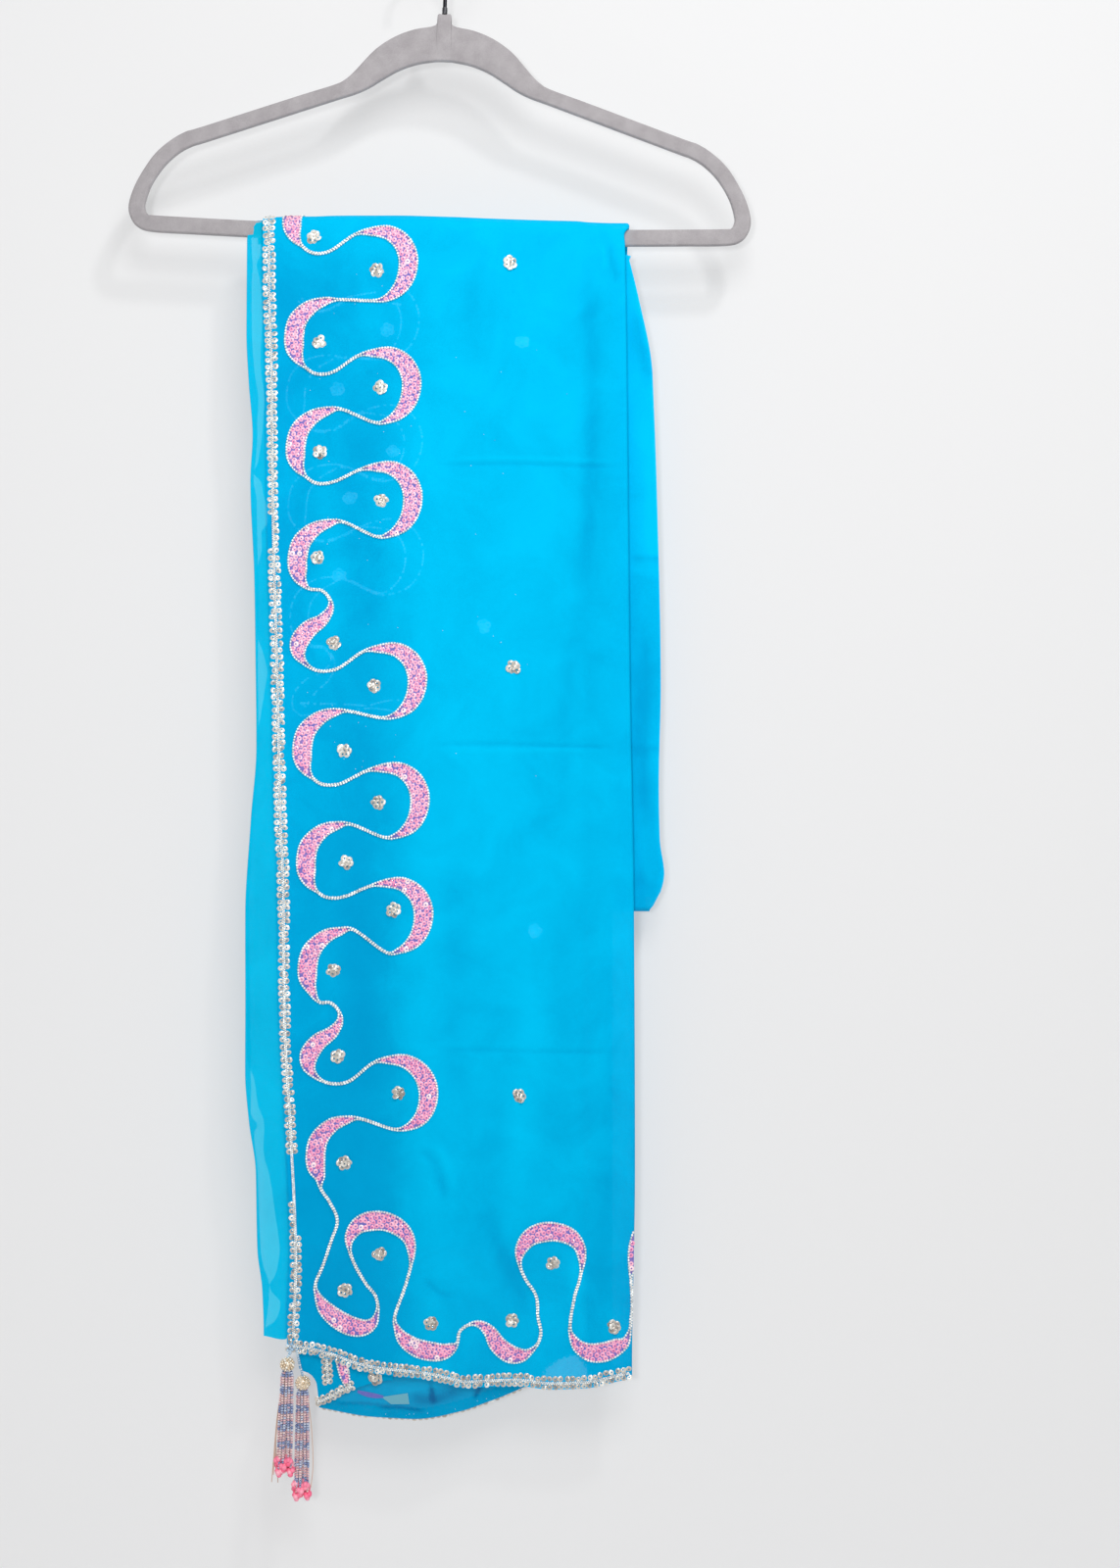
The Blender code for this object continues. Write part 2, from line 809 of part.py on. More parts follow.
def sheer_section(row):
    left = read(SHEER_EDGE, height_on(-140.0, row))
    strip = read(SIDE_BORDER, height_on(-125.0, row)) - BORDER_HALF_WIDTH
    step = UNDER_EDGE[0][1]
    inner = (strip + step - 3.0) / 2.0
    columns = even(3, left, strip) + [inner, step - 3.0] + shared_columns()[:-1]
    return layer_points(columns, sheer_depth, row)


def under_section(row):
    left = read(UNDER_EDGE, height_on(-90.0, row))
    columns = shared_columns()
    columns[0] = max(columns[0], left + 2.0)
    return layer_points([left] + columns, under_depth, row)


def leaf_section(row):
    left = read(UNDER_EDGE, height_on(-90.0, row))
    columns = [left] + [x for x in shared_columns() if -90.0 < x < LEAF_RIGHT]
    return layer_points(columns + [LEAF_RIGHT], leaf_depth, row)


def back_section(row):
    left = read(BACK_LEFT, height_on(-115.0, row))
    right = read(BUNDLE_RIGHT, height_on(145.0, row) - 3.0) - 2.5
    columns = even(12, left, right)
    return [(x, back_depth(x, round_centre(x) - row[1](x))) for x in columns]


def bundle_edges(row):
    height = row[1] if row[0] == "back" else round_centre
    return read(BUNDLE_LEFT, height(-100.0)), read(BUNDLE_RIGHT, height(140.0))


def bundle_ring(row, inset):
    """Section of the folded layers behind, with a groove between each two at the edges."""
    left, right = bundle_edges(row)
    inner = GAP + inset

    def outer(x):
        drop = round_centre(x) - row[1](x) if row[0] == "back" else 0.0
        return bundle_outer(x, drop) - inset

    groove = min(BUNDLE_GROOVE, (outer(right) - inner) * 0.3)
    points = [(x, outer(x)) for x in even(BUNDLE_COLUMNS, left, right)]
    for side, edge in ((1.0, right), (-1.0, left)):
        high, low = (outer(edge), inner) if side > 0 else (inner, outer(edge))
        for step in range(1, 2 * BUNDLE_LAYERS):
            depth = between(high, low, step / (2.0 * BUNDLE_LAYERS))
            reach = 0.6 if step % 2 else -groove
            points.append((edge + side * reach, depth))
        if side > 0:
            points += [(x, inner) for x in even(BUNDLE_COLUMNS, right, left)]
    return [on_path(x, depth, row) for x, depth in points]


def build_bundle(finish, home):
    rings = [bundle_ring(("front", lambda x: round_centre(x) - 14.0), 0.0)]
    rings += [bundle_ring(row, 0.0) for row in over_rows()]
    for drop in BUNDLE_DROPS:
        part = drop / (BUNDLE_DROPS[-1] + 3.0)
        row = ("back", lambda x, part=part: between(round_centre(x), BUNDLE_FOOT, part))
        rings.append(bundle_ring(row, 0.0))
    rings.append(bundle_ring(("back", lambda x: BUNDLE_FOOT), 1.4))
    loft("back_bundle", rings, finish, home, flat_caps=True)


def build_cloth(finishes, home):
    build_bundle(finishes["cloth"], home)
    sheer_rows = [("front", sheer_foot), ("front", foot_between(0.85, sheer_foot, 0.5))]
    sheer_rows += front_rows(17)
    sheer_rows += over_rows() + [back_row(LAYER_BACK_END)]
    cloth_wall("left_stretch", sheer_rows, sheer_section, LAYER_WALL, finishes["sheer"], home)

    under_rows = [("front", under_foot)]
    for part in UNDER_FOOT_PARTS:
        under_rows.append(("front", foot_between(0.95, under_foot, part)))
    under_rows += front_rows(19) + over_rows() + [back_row(LAYER_BACK_END)]
    cloth_wall("pallu_under", under_rows, under_section, LAYER_WALL, finishes["under"], home)

    leaf_rows = []
    for part in even(5, 1.0, 0.0):
        leaf_rows.append(("front", lambda x, part=part: between(LEAF_TOP, leaf_foot(x), part)))
    cloth_wall("under_leaf", leaf_rows, leaf_section, LAYER_WALL, finishes["under"], home)

    rows = front_rows(FRONT_ROW_COUNT) + over_rows() + [back_row(OVER_BACK_END)]
    cloth_wall("pallu_front", rows, front_section, FRONT_WALL, finishes["cloth"], home)

    back_rows = []
    for part in BACK_PARTS:
        back_rows.append(("back", lambda x, part=part: between(back_start(x), BACK_FOOT, part)))
    cloth_wall("back_stretch", back_rows, back_section, FRONT_WALL, finishes["cloth"], home)


def foot_between(place, foot, part):
    """Height between a shared row of the front and a layer's own foot."""
    high = front_height(place)
    return lambda x: between(high(x), foot(x), part)


def outer_reach(x, drop):
    """Outer face of the front wall, measured from the bar's middle."""
    return HANGER_HALF_THICK + front_surface(x, drop) + FRONT_WALL / 2.0


def surface_point(x, along, lift):
    """A point over the outer wall. Along is the way down the front, or the back if below 0."""
    side = -1.0 if along >= 0.0 else 1.0
    crest = outer_reach(x, 0.0)
    quarter = crest * math.pi / 2.0
    centre = round_centre(x)
    if abs(along) < quarter:
        angle = abs(along) / crest
        reach = crest + lift + ARC_LIFT * math.cos(angle)
        return space(x, side * reach * math.sin(angle), centre + reach * math.cos(angle))
    drop = abs(along) - quarter
    if along < 0.0:
        reach = HANGER_HALF_THICK + back_depth(x, drop) + FRONT_WALL / 2.0
    else:
        reach = outer_reach(x, drop)
    return space(x, side * (reach + lift), centre - drop)


def along_at(x, z):
    """Way down the front from the crest to a height below the bar's top."""
    return outer_reach(x, 0.0) * math.pi / 2.0 + round_centre(x) - z


def border_x(along):
    if along >= 0.0:
        return read(SIDE_BORDER, -205.0 - along)
    return read(BACK_LEFT, -205.0 + along) + BORDER_HALF_WIDTH - 0.2


def vine_controls():
    """Centre line of the running vine. Each entry: x, way down the front, half width."""
    controls = []
    for index in range(BACK_TURN_COUNT, 0, -1):
        centre = SIDE_TURNS[0][1] - BACK_TURN_PITCH * index
        unit = UNITS["far" if index % 2 else "near"]
        controls += [(centre + a, away, half) for a, away, half in unit]
    place = 0.0
    for name, step, _, _ in SIDE_TURNS:
        place += step
        controls += [(place + a, away, half) for a, away, half in UNITS[name]]
    path = [(border_x(along) + away, along, half) for along, away, half in controls]
    path += [(x, along_at(x, z), CORD_HALF_WIDTH) for x, z in CORNER_CORD]
    for name, centre, rise, _, _ in HEM_TURNS:
        for a, away, half in UNITS[name]:
            x = centre + a
            if x < HEM_VINE_END:
                path.append((x, along_at(x, read(HEM_BORDER, x) + away + rise), half))
    return path


def softened(path):
    """The same path with points added along a smooth curve where it rounds the bar."""
    made = []
    for i in range(len(path) - 1):
        p0, p1, p2, p3 = (path[min(len(path) - 1, max(0, i + k))] for k in (-1, 0, 1, 2))
        steps = 2 if abs(p1[1]) < ROUND_REACH else 1
        for step in range(steps):
            t = step / steps
            point = []
            for a, b, c, d in zip(p0, p1, p2, p3):
                curve = 2 * b + (c - a) * t + (2 * a - 5 * b + 4 * c - d) * t * t
                curve += (3 * b - a - 3 * c + d) * t**3
                point.append(curve / 2.0)
            made.append(point)
    return made + [list(path[-1])]


def level_band(name, places, point_at, half_width, finish, home):
    """A low band on cloth. Its points come from a place, an offset and a lift."""
    rings = []
    for place in places:
        ring = []
        for sign, lift in ((1, 0.0), (-1, 0.0), (-1, TRIM_THICK), (1, TRIM_THICK)):
            ring.append(point_at(place, sign * half_width, TRIM_LIFT + lift))
        rings.append(ring)
    return loft(name, rings, finish, home)


def ribbon(name, path, finish, home):
    """A low band on the outer wall, as wide at each point as the path says."""
    rings = []
    last = len(path) - 1
    for i, (x, along, half) in enumerate(path):
        before, after = path[max(0, i - 1)], path[min(last, i + 1)]
        run = Vector((after[0] - before[0], after[1] - before[1])).normalized()
        edges = [(x - run.y * half, along + run.x * half), (x + run.y * half, along - run.x * half)]
        middle = surface_point(x, along, 0.0)
        ends = [surface_point(*edge, 0.0) for edge in edges]
        ridge = max(0.0, abs(middle.y) - abs(ends[0].y + ends[1].y) / 2.0) / MM
        ring = []
        for edge, lift in ((0, 0.0), (1, 0.0), (1, TRIM_THICK), (0, TRIM_THICK)):
            ring.append(surface_point(*edges[edge], VINE_LIFT + lift + ridge))
        rings.append(ring)
    return loft(name, rings, finish, home)


def build_vine(finish, home):
    path = softened(vine_controls())
    ribbon("vine_front", [p for p in path if p[1] > FRONT_VINE_START], finish, home)
    ends = (-FAR_BACK_ALONG, -NEAR_BACK_ALONG)
    ribbon("vine_back", [p for p in path if ends[0] < p[1] < ends[1]], finish, home)


def build_borders(finish, home):
    def side_point(row, offset, lift):
        x = read(SIDE_BORDER, height_on(-125.0, row)) + offset
        return on_path(x, front_surface(x, front_drop(x, row)) + FRONT_WALL / 2 + lift, row)

    side_end = ("front", lambda x: hem_foot(x) + 2 * BORDER_HALF_WIDTH + 1.0)
    side_rows = [side_end] + front_rows(FRONT_ROW_COUNT - 1) + over_rows()
    level_band("side_border", side_rows, side_point, BORDER_HALF_WIDTH, finish, home)

    def back_point(part, offset, lift):
        z = between(back_start(-120.0) - 1.0, BACK_FOOT + 0.5, part)
        x = read(BACK_LEFT, z) + BORDER_HALF_WIDTH + CLOTH_PAST_BORDER + offset
        depth = back_depth(x, round_centre(x) - z) + FRONT_WALL / 2 + lift
        return space(x, HANGER_HALF_THICK + depth, z)

    level_band("back_border", BACK_PARTS, back_point, BORDER_HALF_WIDTH, finish, home)

    def hem_point(x, offset, lift):
        z = read(HEM_BORDER, x) + offset
        return space(x, -outer_reach(x, round_centre(x) - z) - lift, z)

    hem_height = front_height(1.0)
    left, right = front_edges(hem_height)
    hem_columns = [left + 0.6, (left + COLUMN_FROM) / 2.0] + shared_columns() + [right]
    level_band("hem_border", hem_columns, hem_point, BORDER_HALF_WIDTH, finish, home)

    def leaf_point(x, offset, lift):
        z = leaf_foot(x) + LEAF_BORDER_HALF_WIDTH - 0.8 + offset
        depth = leaf_depth(x, round_centre(x) - z) + LAYER_WALL / 2 + lift
        return space(x, -HANGER_HALF_THICK - depth, z)

    leaf_columns = even(3, -91.0, -67.0)
    level_band("leaf_border", leaf_columns, leaf_point, LEAF_BORDER_HALF_WIDTH, finish, home)

    def under_point(x, offset, lift):
        z = under_foot(x) + BORDER_HALF_WIDTH - 1.0 + offset
        depth = under_depth(x, round_centre(x) - z) - LAYER_WALL / 2 - lift
        return space(x, -HANGER_HALF_THICK - depth, z)

    under_columns = [x for x in shared_columns() if -90.0 < x]
    level_band("under_border", under_columns, under_point, BORDER_HALF_WIDTH, finish, home)


def spangle_places():
    """Places of the round spangles. Each entry: x, way down the front."""
    places = []
    place = 0.0
    for _, step, along, away in SIDE_TURNS:
        place += step
        places.append((border_x(place) + away, place + along))
    for _, centre, rise, along, away in HEM_TURNS:
        x = centre + along
        places.append((x, along_at(x, read(HEM_BORDER, x) + away)))
    places += [(x, along_at(x, z)) for x, z in FIELD_SPANGLES]
    for index in range(1, BACK_TURN_COUNT):
        centre = SIDE_TURNS[0][1] - BACK_TURN_PITCH * index + BACK_SPANGLE_ALONG
        away = BACK_SPANGLE_AWAY["far" if index % 2 else "near"]
        places.append((border_x(centre) + away, centre))
    return places


def build_spangles(finish, home):
    form = bmesh.new()
    bmesh.ops.create_cone(
        form,
        cap_ends=True,
        segments=SPANGLE_SIDES,
        radius1=SPANGLE_RADIUS * MM,
        radius2=SPANGLE_TOP_RADIUS * MM,
        depth=SPANGLE_HEIGHT * MM,
        matrix=Matrix.Translation((0.0, 0.0, SPANGLE_HEIGHT * MM / 2.0)),
    )
    shared = mesh_from("spangle", form)
    reach = SPANGLE_RADIUS
    for number, (x, along) in enumerate(spangle_places(), start=1):
        ends = [(x - reach, along), (x + reach, along), (x, along - reach), (x, along + reach)]
        left, right, high, low = (surface_point(a, b, 0.0) for a, b in ends)
        out = (low - high).cross(right - left).normalized()
        middle = (left + right + high + low) / 4.0
        rise = max((surface_point(x, along, 0.0) - middle).dot(out), 0.0)
        made = add_object(f"spangle_{number:02d}", shared, finish, home)
        made.location = middle + out * (rise + SPANGLE_LIFT * MM)
        made.rotation_euler = out.to_track_quat("Z", "Y").to_euler()


def tube(form, route, radii, sides):
    """Adds a closed tube through points, with its own radius at each, to a form."""
    loops = []
    last = len(route) - 1
    for i, (centre, radius) in enumerate(zip(route, radii)):
        run = (route[min(last, i + 1)] - route[max(0, i - 1)]).normalized()
        one = run.cross(Vector((0.0, 1.0, 0.0))).normalized()
        two = run.cross(one).normalized()
        loop = []
        for k in range(sides):
            turn = math.tau * k / sides
            offset = one * math.cos(turn) + two * math.sin(turn)
            loop.append(form.verts.new(centre + offset * radius * MM))
        loops.append(loop)
    for low, high in zip(loops, loops[1:]):
        for k in range(sides):
            j = (k + 1) % sides
            form.faces.new((low[k], low[j], high[j], high[k]))
    form.faces.new(loops[0])
    form.faces.new(loops[-1])


def strand(index, head, lean, length, bud_ring):
    """Route and radii of one strand, from inside the head to the end of its bud."""
    x, y, z, radius = head
    turn = math.tau * index / (STRANDS - 1) + 0.26
    ring = 0.0 if index == STRANDS - 1 else 1.0
    stagger = BUD_STAGGER * (0.25 if ring == 0.0 else (index % 3) / 2.0)
    root = z - radius * 0.55
    bud_top = z - radius - length + stagger + BUD_LENGTH
    route = []
    radii = []
    for part in (0.0, 0.12, 0.35, 0.65, 1.0):
        spread = ring * between(STRAND_RING, bud_ring, smooth(part * 1.3 - 0.1))
        across = x + lean * part + spread * math.cos(turn)
        depth = y + STRAND_RING_DEPTH * spread * math.sin(turn)
        route.append(space(across, depth, between(root, bud_top, part)))
        radii.append(STRAND_RADIUS)
    foot = route[-1]
    for part, size in ((0.35, 1.0), (0.7, 0.95), (1.0, 0.45)):
        route.append(foot - space(0.0, 0.0, BUD_LENGTH * part))
        radii.append(BUD_RADIUS * size)
    return route, radii


def build_tassel(name, sizes, finish, home, helpers):
    x, y, z, radius, lean, length, bud_ring, root_x, root_y, root_z = sizes
    head_form = bmesh.new()
    place = Matrix.Translation(space(x, y, z))
    bmesh.ops.create_uvsphere(
        head_form, u_segments=12, v_segments=8, radius=radius * MM, matrix=place
    )
    head = add_object(name, mesh_from(name, head_form), finish, home)
    form = bmesh.new()
    for index in range(STRANDS):
        route, radii = strand(index, (x, y, z, radius), lean, length, bud_ring)
        tube(form, route, radii, STRAND_SIDES)
    top = z + radius * 0.5
    bend = space(between(root_x, x, 0.4), root_y - LINK_FORWARD, between(root_z, top, 0.55))
    link = [space(root_x, root_y, root_z), bend, space(x, y, top)]
    tube(form, link, [LINK_RADIUS] * 3, 6)
    strands = add_object(f"{name}_strands", mesh_from(f"{name}_strands", form), finish, helpers)
    strands.hide_render = True
    strands.display_type = "WIRE"
    joint = head.modifiers.new("join_strands", "BOOLEAN")
    joint.operation = "UNION"
    joint.solver = "EXACT"
    joint.object = strands


def main():
    for old in list(bpy.data.objects):
        bpy.data.objects.remove(old, do_unlink=True)
    parts = collection("chiffon_saree_on_hanger")
    helpers = collection("joined_pieces")
    helpers.hide_render = True
    flock = material("grey_flock", (0.46, 0.44, 0.45), 0.95)
    wire = material("black_wire", (0.02, 0.02, 0.025), 0.35, 0.9)
    finishes = {
        "cloth": material("turquoise_chiffon", (0.0, 0.5, 0.85), 0.7),
        "sheer": material("sheer_chiffon", (0.05, 0.55, 0.8), 0.7),
        "under": material("under_chiffon", (0.02, 0.42, 0.68), 0.7),
    }
    silver = material("silver_sequins", (0.78, 0.77, 0.72), 0.25, 0.8)
    pink = material("pink_sequins", (0.85, 0.4, 0.6), 0.4, 0.2)
    coral = material("coral_beads", (0.75, 0.35, 0.4), 0.45)
    build_hanger(flock, wire, parts)
    build_cloth(finishes, parts)
    build_borders(silver, parts)
    build_vine(pink, parts)
    build_spangles(silver, parts)
    for name, sizes in TASSELS.items():
        build_tassel(name, sizes, coral, parts, helpers)


main()
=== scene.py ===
"""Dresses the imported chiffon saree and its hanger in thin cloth, sequins and beads.

Sizes below are millimetres; make_mesh() turns them into metres. The outlines of the
cloth repeat the source's own tables. A way along the cloth is measured from the crest
of the bar: above 0 down the front, below 0 down the back.
"""

import math

import bmesh
import bpy
import numpy as np
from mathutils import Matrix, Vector


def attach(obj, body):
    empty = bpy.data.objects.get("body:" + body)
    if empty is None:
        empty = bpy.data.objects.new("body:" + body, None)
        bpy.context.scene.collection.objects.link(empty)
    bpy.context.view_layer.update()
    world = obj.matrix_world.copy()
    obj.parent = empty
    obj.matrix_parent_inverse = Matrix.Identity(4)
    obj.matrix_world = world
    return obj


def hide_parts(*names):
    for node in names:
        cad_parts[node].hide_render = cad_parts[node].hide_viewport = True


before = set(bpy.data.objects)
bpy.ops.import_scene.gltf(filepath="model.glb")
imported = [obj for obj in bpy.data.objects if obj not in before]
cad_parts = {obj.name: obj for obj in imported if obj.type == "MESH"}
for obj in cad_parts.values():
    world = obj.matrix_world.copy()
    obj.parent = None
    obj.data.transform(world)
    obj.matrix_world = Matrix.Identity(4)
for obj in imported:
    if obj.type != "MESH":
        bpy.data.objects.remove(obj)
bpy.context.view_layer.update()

MM = 0.001
DRAW = np.random.default_rng(11)

# Hanger sizes
HANGER_TILT = math.radians(1.4)
HANGER_HALF_THICK = 2.75
HANGER_EDGE_ROUND = 1.7
BAR_TOP = 208.3
BAR_HEIGHT = 11.9
BAR_HALF_SPAN = 208.0
BAR_SAG = 4.0
SLEEVE_RADIUS = 1.9
SLEEVE_BOTTOM = -60.0
SLEEVE_HEIGHT = 5.0
WIRE_RADIUS = 1.4
HOOK_INNER_RADIUS = 19.0

# The hook's round starts and ends at these turns, in degrees. The bend below it starts at
# a height, and keeps the way of each end for a stretch.
HOOK_TURNS = (-48.0, 196.0)
BEND_FOOT = -47.0
BEND_REACH = 6.0

# Stage sizes
WALL_DEPTH = 42.0
FLOOR_HEIGHT = -1500.0
CAMERA_DISTANCE = 1600.0
VIEW_HEIGHT = 1116.0
VIEW_CENTRE = (80.9, -6.0, -609.6)

# Cloth sizes
FRONT_WALL = 1.2
HANG_DEPTH = 4.6
RELAX_DROP = 150.0
BACK_DEPTH = 10.5
BACK_SPREAD_DROP = 110.0
OVER_BACK_END = 9.0
ARC_SEAT = 0.22
BACK_FOOT = -699.0
BUNDLE_FOOT = -701.0
LEAF_TOP = -1007.0
LEAF_RIGHT = -38.0
BORDER_HALF_WIDTH = 4.2
CLOTH_PAST_BORDER = 0.4
FRONT_FOLD_RADIUS = 2.1
BACK_FOLD_RADIUS = 0.6
FLAP_WIDTH = 30.0
UNDER_LIFT = -2.0
UNDER_SPREAD = 2.3
UNDER_SPREAD_DROP = 765.0
LEAF_LIFT = -2.3
SHEER_EDGE_LIFT = -2.0
SHEER_INNER_LIFT = -3.3
SHEER_RIGHT = 98.0
UNDER_RIGHT = 118.0
CREST_LEFT = -130.8
CREST_RIGHT = 130.5
CREST_Z = -205.0
CREST_WAY = 14.0
OVER_WAY = -21.0
BUNDLE_SEAT = 3.1
BUNDLE_LAYERS = 5
OUTER_COLUMNS = 96
TURN_COLUMNS = 6
BUNDLE_COLUMNS = 48

# How many beads lie loose on the front, how many of them at its left, and a tassel head's
LOOSE_COUNT = 60
LOOSE_AT_LEFT = 40
HEAD_COUNT = 58

# Radii of the sequins, beads and threads
VINE_SEQUIN_RADIUS = 1.95
GLINT_RADIUS = 2.15
BORDER_SEQUIN_RADIUS = 2.25
SPANGLE_SEQUIN_RADIUS = 2.6
BUD_RADIUS = 1.95
HEAD_BEAD_RADIUS = 0.92
CORNER_BEAD_RADIUS = 1.15
THREAD_RADIUS = 0.34

# How the vine is filled: half widths from which it has sequins and ground, what the sequins
# and cords keep from its edge, the sequins' pitch, and the ground's end at the folded edge.
FILLED_HALF_WIDTH = 2.6
GROUND_HALF_WIDTH = 1.7
SEQUIN_INSET = 2.5
VINE_CORD_INSET = 0.85
SEQUIN_GAP = 3.35
GROUND_RIGHT = 133.4
SPANGLE_RING = 2.75

# Strings of beads: pitch, radius, length.
VINE_CORD = (2.0, 0.72, 1.7)
GHOST_CORD = (2.4, 0.72, 2.2)
BORDER_CORD = (1.6, 0.56, 1.35)
STRAND = (1.75, 0.92, 1.55)
LINK = (1.7, 1.0, 1.5)

# Where sequins are missing from the side border's two rows: from and to, down the front.
SIDE_GAPS = (((219, 239), (671, 707)), ((671, 729),))

# Upper half of the hanger: one row for each station from the neck to the bar's end.
# Columns: outer edge x, outer edge z, inner edge x, inner edge z.
HANGER_STATIONS = (
    (0, -60.3, 0, -93.9), (4.7, -60.3, 4.5, -94), (6.2, -67.9, 7.5, -94.3), (21, -71.2, 19, -96.4),
    (35, -76.7, 31, -100.8), (49, -86.3, 42, -107.2), (62.8, -101.5, 53, -114.2),
    (70, -108.2, 63, -118.8), (78, -112.3, 74, -122.5), (105, -121.4, 101, -131.9),
    (171, -144.4, 167, -154.9), (183, -148.3, 177, -158.2), (194, -155, 186, -163),
    (204, -164, 195, -170.8), (212, -175.5, 202, -180), (218.5, -188, 207.3, -190),
    (222.3, -201, 210.3, -200.5), (221, -210, 210, -204.5), (215.5, -217.2, 208.5, -207.6),
)


def curve(*rows):
    """The second column of a table as a smooth function of the first."""
    keys, values = np.array(sorted(rows), float).T
    steps = np.diff(values) / np.diff(keys)
    slopes = np.zeros(len(keys))
    same_way = steps[:-1] * steps[1:] > 0.0
    both = steps[:-1] + steps[1:]
    slopes[1:-1][same_way] = (2.0 * steps[:-1] * steps[1:] / np.where(same_way, both, 1.0))[same_way]

    def at(key):
        key = np.clip(key, keys[0], keys[-1])
        i = np.clip(np.searchsorted(keys, key) - 1, 0, len(keys) - 2)
        width = keys[i + 1] - keys[i]
        part = (key - keys[i]) / width
        value = values[i] + (values[i + 1] - values[i]) * part * part * (3.0 - 2.0 * part)
        value = value + width * slopes[i] * part * (1.0 - part) ** 2
        return value - width * slopes[i + 1] * part**2 * (1.0 - part)

    return at


# Height of the cloth's top above the bar. Columns: x, height.
heap = curve(
    (-143, 1.8), (-127, 2.8), (-107, 4.2), (-95, 4.7), (-80, 5.8), (-52, 6.9), (-25, 7.6),
    (3, 7.5), (31, 6.9), (73, 6.1), (92, 5.8), (102, 5), (121, 4.5), (150, 4.5),
)

# Centre of the side border. Columns: z, x.
side_border = curve(
    (-213, -126.2), (-261, -126), (-313, -124.2), (-414, -123.1), (-540, -119.9), (-644, -117.5),
    (-680, -115.8), (-784, -114.7), (-854, -110.8), (-958, -106.9), (-1009, -108.6),
)

# Folded right edge of the front stretch. Columns: z, x.
right_fold = curve(
    (-209, 130.5), (-214, 128.5), (-219, 126.8), (-226, 127.3), (-400, 129.4), (-540, 130.8),
    (-702, 133.6), (-889, 134.3), (-1028, 132.2),
)

# Centre of the hem border. Columns: x, z.
hem_border = curve(
    (-118, -1008), (-109, -1009), (-84, -1014.2), (-63, -1021.5), (-50, -1024.4), (-11, -1028.1),
    (17, -1034.6), (51, -1033.2), (74, -1035.6), (98, -1034.4), (132, -1028.1),
)

# Outer edge of the sheer stretch at the left. Columns: z, x.
sheer_edge = curve(
    (-208, -135), (-229, -142.4), (-296, -142.6), (-331, -140.8), (-369, -138), (-400, -139.6),
    (-470, -136.8), (-590, -135.3), (-642, -139.2), (-707, -143), (-819, -143), (-854, -140.4),
    (-889, -135.4), (-944, -134.3), (-972, -130.8), (-1002, -129.8),
)

# Width of the narrow turn-back along the sheer stretch's edge. Columns: z, width.
sheer_turn = curve(
    (-208, 3), (-240, 3.5), (-247, 4.2), (-262, 3.5), (-324, 4.6), (-341, 5.9), (-362, 3.5),
    (-388, 3), (-401, 2.2), (-414, 4.2), (-450, 3.1), (-513, 2), (-536, 1.5), (-700, 2), (-826, 4),
    (-850, 2), (-856, 6), (-862, 2.6), (-877, 1.2), (-942, 2.3), (-955, 2.9), (-967, 5.2),
    (-975, 4.6), (-984, 3.4), (-1002, 1),
)

# How far the second sheer layer stays inside the first one's edge. Columns: z, distance.
sheer_step = curve(
    (-208, 1.5), (-217, 2), (-220.5, 10), (-240, 9.8), (-247, 7.2), (-261, 9.8), (-282, 11.5),
    (-324, 9.3), (-341, 10.4), (-352, 8.9), (-375, 6.1), (-388, 4.8), (-395, 2), (-402, 7.7),
    (-414, 9.8), (-425, 13.2), (-431, 11.6), (-437, 6.7), (-450, 6.1), (-457, 4), (-468, 1.5),
    (-509, 1.5), (-526, 6.4), (-537, 8.2), (-547, 6.6), (-568, 3), (-580, 1), (-808, 1.2),
    (-826, 6.8), (-842, 7.8), (-854, 10.8), (-877, 7.2), (-893, 10), (-916, 13), (-941, 15.8),
    (-955, 12.8), (-962, 9.4), (-968, 5.4), (-972, 6.5), (-978, 12.4), (-985, 11.4), (-993, 7.4),
    (-999, 1.2), (-1002, 1),
)

# Bottom of the sheer stretch, raised where the front hides it. Columns: x, z.
sheer_foot = curve(
    (-145, -1000.5), (-130, -1001.8), (-115, -1005), (-110.5, -1000), (-106.5, -938), (100, -938),
)

# Left edge of the pallu's under half. Columns: z, x.
under_edge = curve(
    (-213, -105.7), (-1018, -105.7), (-1027, -105), (-1030, -97), (-1037, -92.6), (-1055, -91),
)

# Bottom of the pallu's under half, with the gap that lets the wall show. Columns: x, z.
under_foot = curve(
    (-106, -1052), (-88, -1055), (-51, -1060.9), (-25, -1061.8), (10, -1056.7), (31, -1050),
    (50, -1042), (64, -1034.5), (69.9, -1026), (80.6, -1019), (92.1, -1015.6), (101.9, -1025.8),
    (106, -1031), (125, -1031.5),
)

# Bottom of the near leaf of the under half. Columns: x, z.
leaf_foot = curve((-107, -1050.5), (-93, -1052), (-69, -1041.4), (-38, -1034))

# Right edge of the folded bundle behind the bar. Columns: z, x.
bundle_right = curve(
    (-220, 90), (-225, 104), (-228, 116), (-230, 132.2), (-234, 130.5), (-238, 131.5),
    (-261, 137.1), (-311, 146.8), (-324, 147.5), (-400, 150.3), (-540, 153.1), (-610, 151.7),
    (-649, 152.4), (-674, 155.6), (-693, 150.6), (-701, 145),
)

# Left edge of the folded bundle. Columns: z, x.
bundle_left = curve(
    (-218, -82), (-228, -96), (-261, -110), (-311, -106), (-400, -101), (-540, -98), (-701, -98),
)

# Left edge of the stretch that shows at the back. Columns: z, x.
back_left = curve(
    (-226, -130.2), (-261, -123), (-324, -111), (-400, -107), (-540, -104), (-701, -104),
)

# How far the rows of the side border are off its middle. Columns: way down, distance.
side_reach = curve(
    (-20, 2.6), (112, 2.5), (128, 1.75), (232, 1.75), (252, 2.5), (490, 2.5), (512, 2.05),
    (620, 2), (800, 2.2),
)

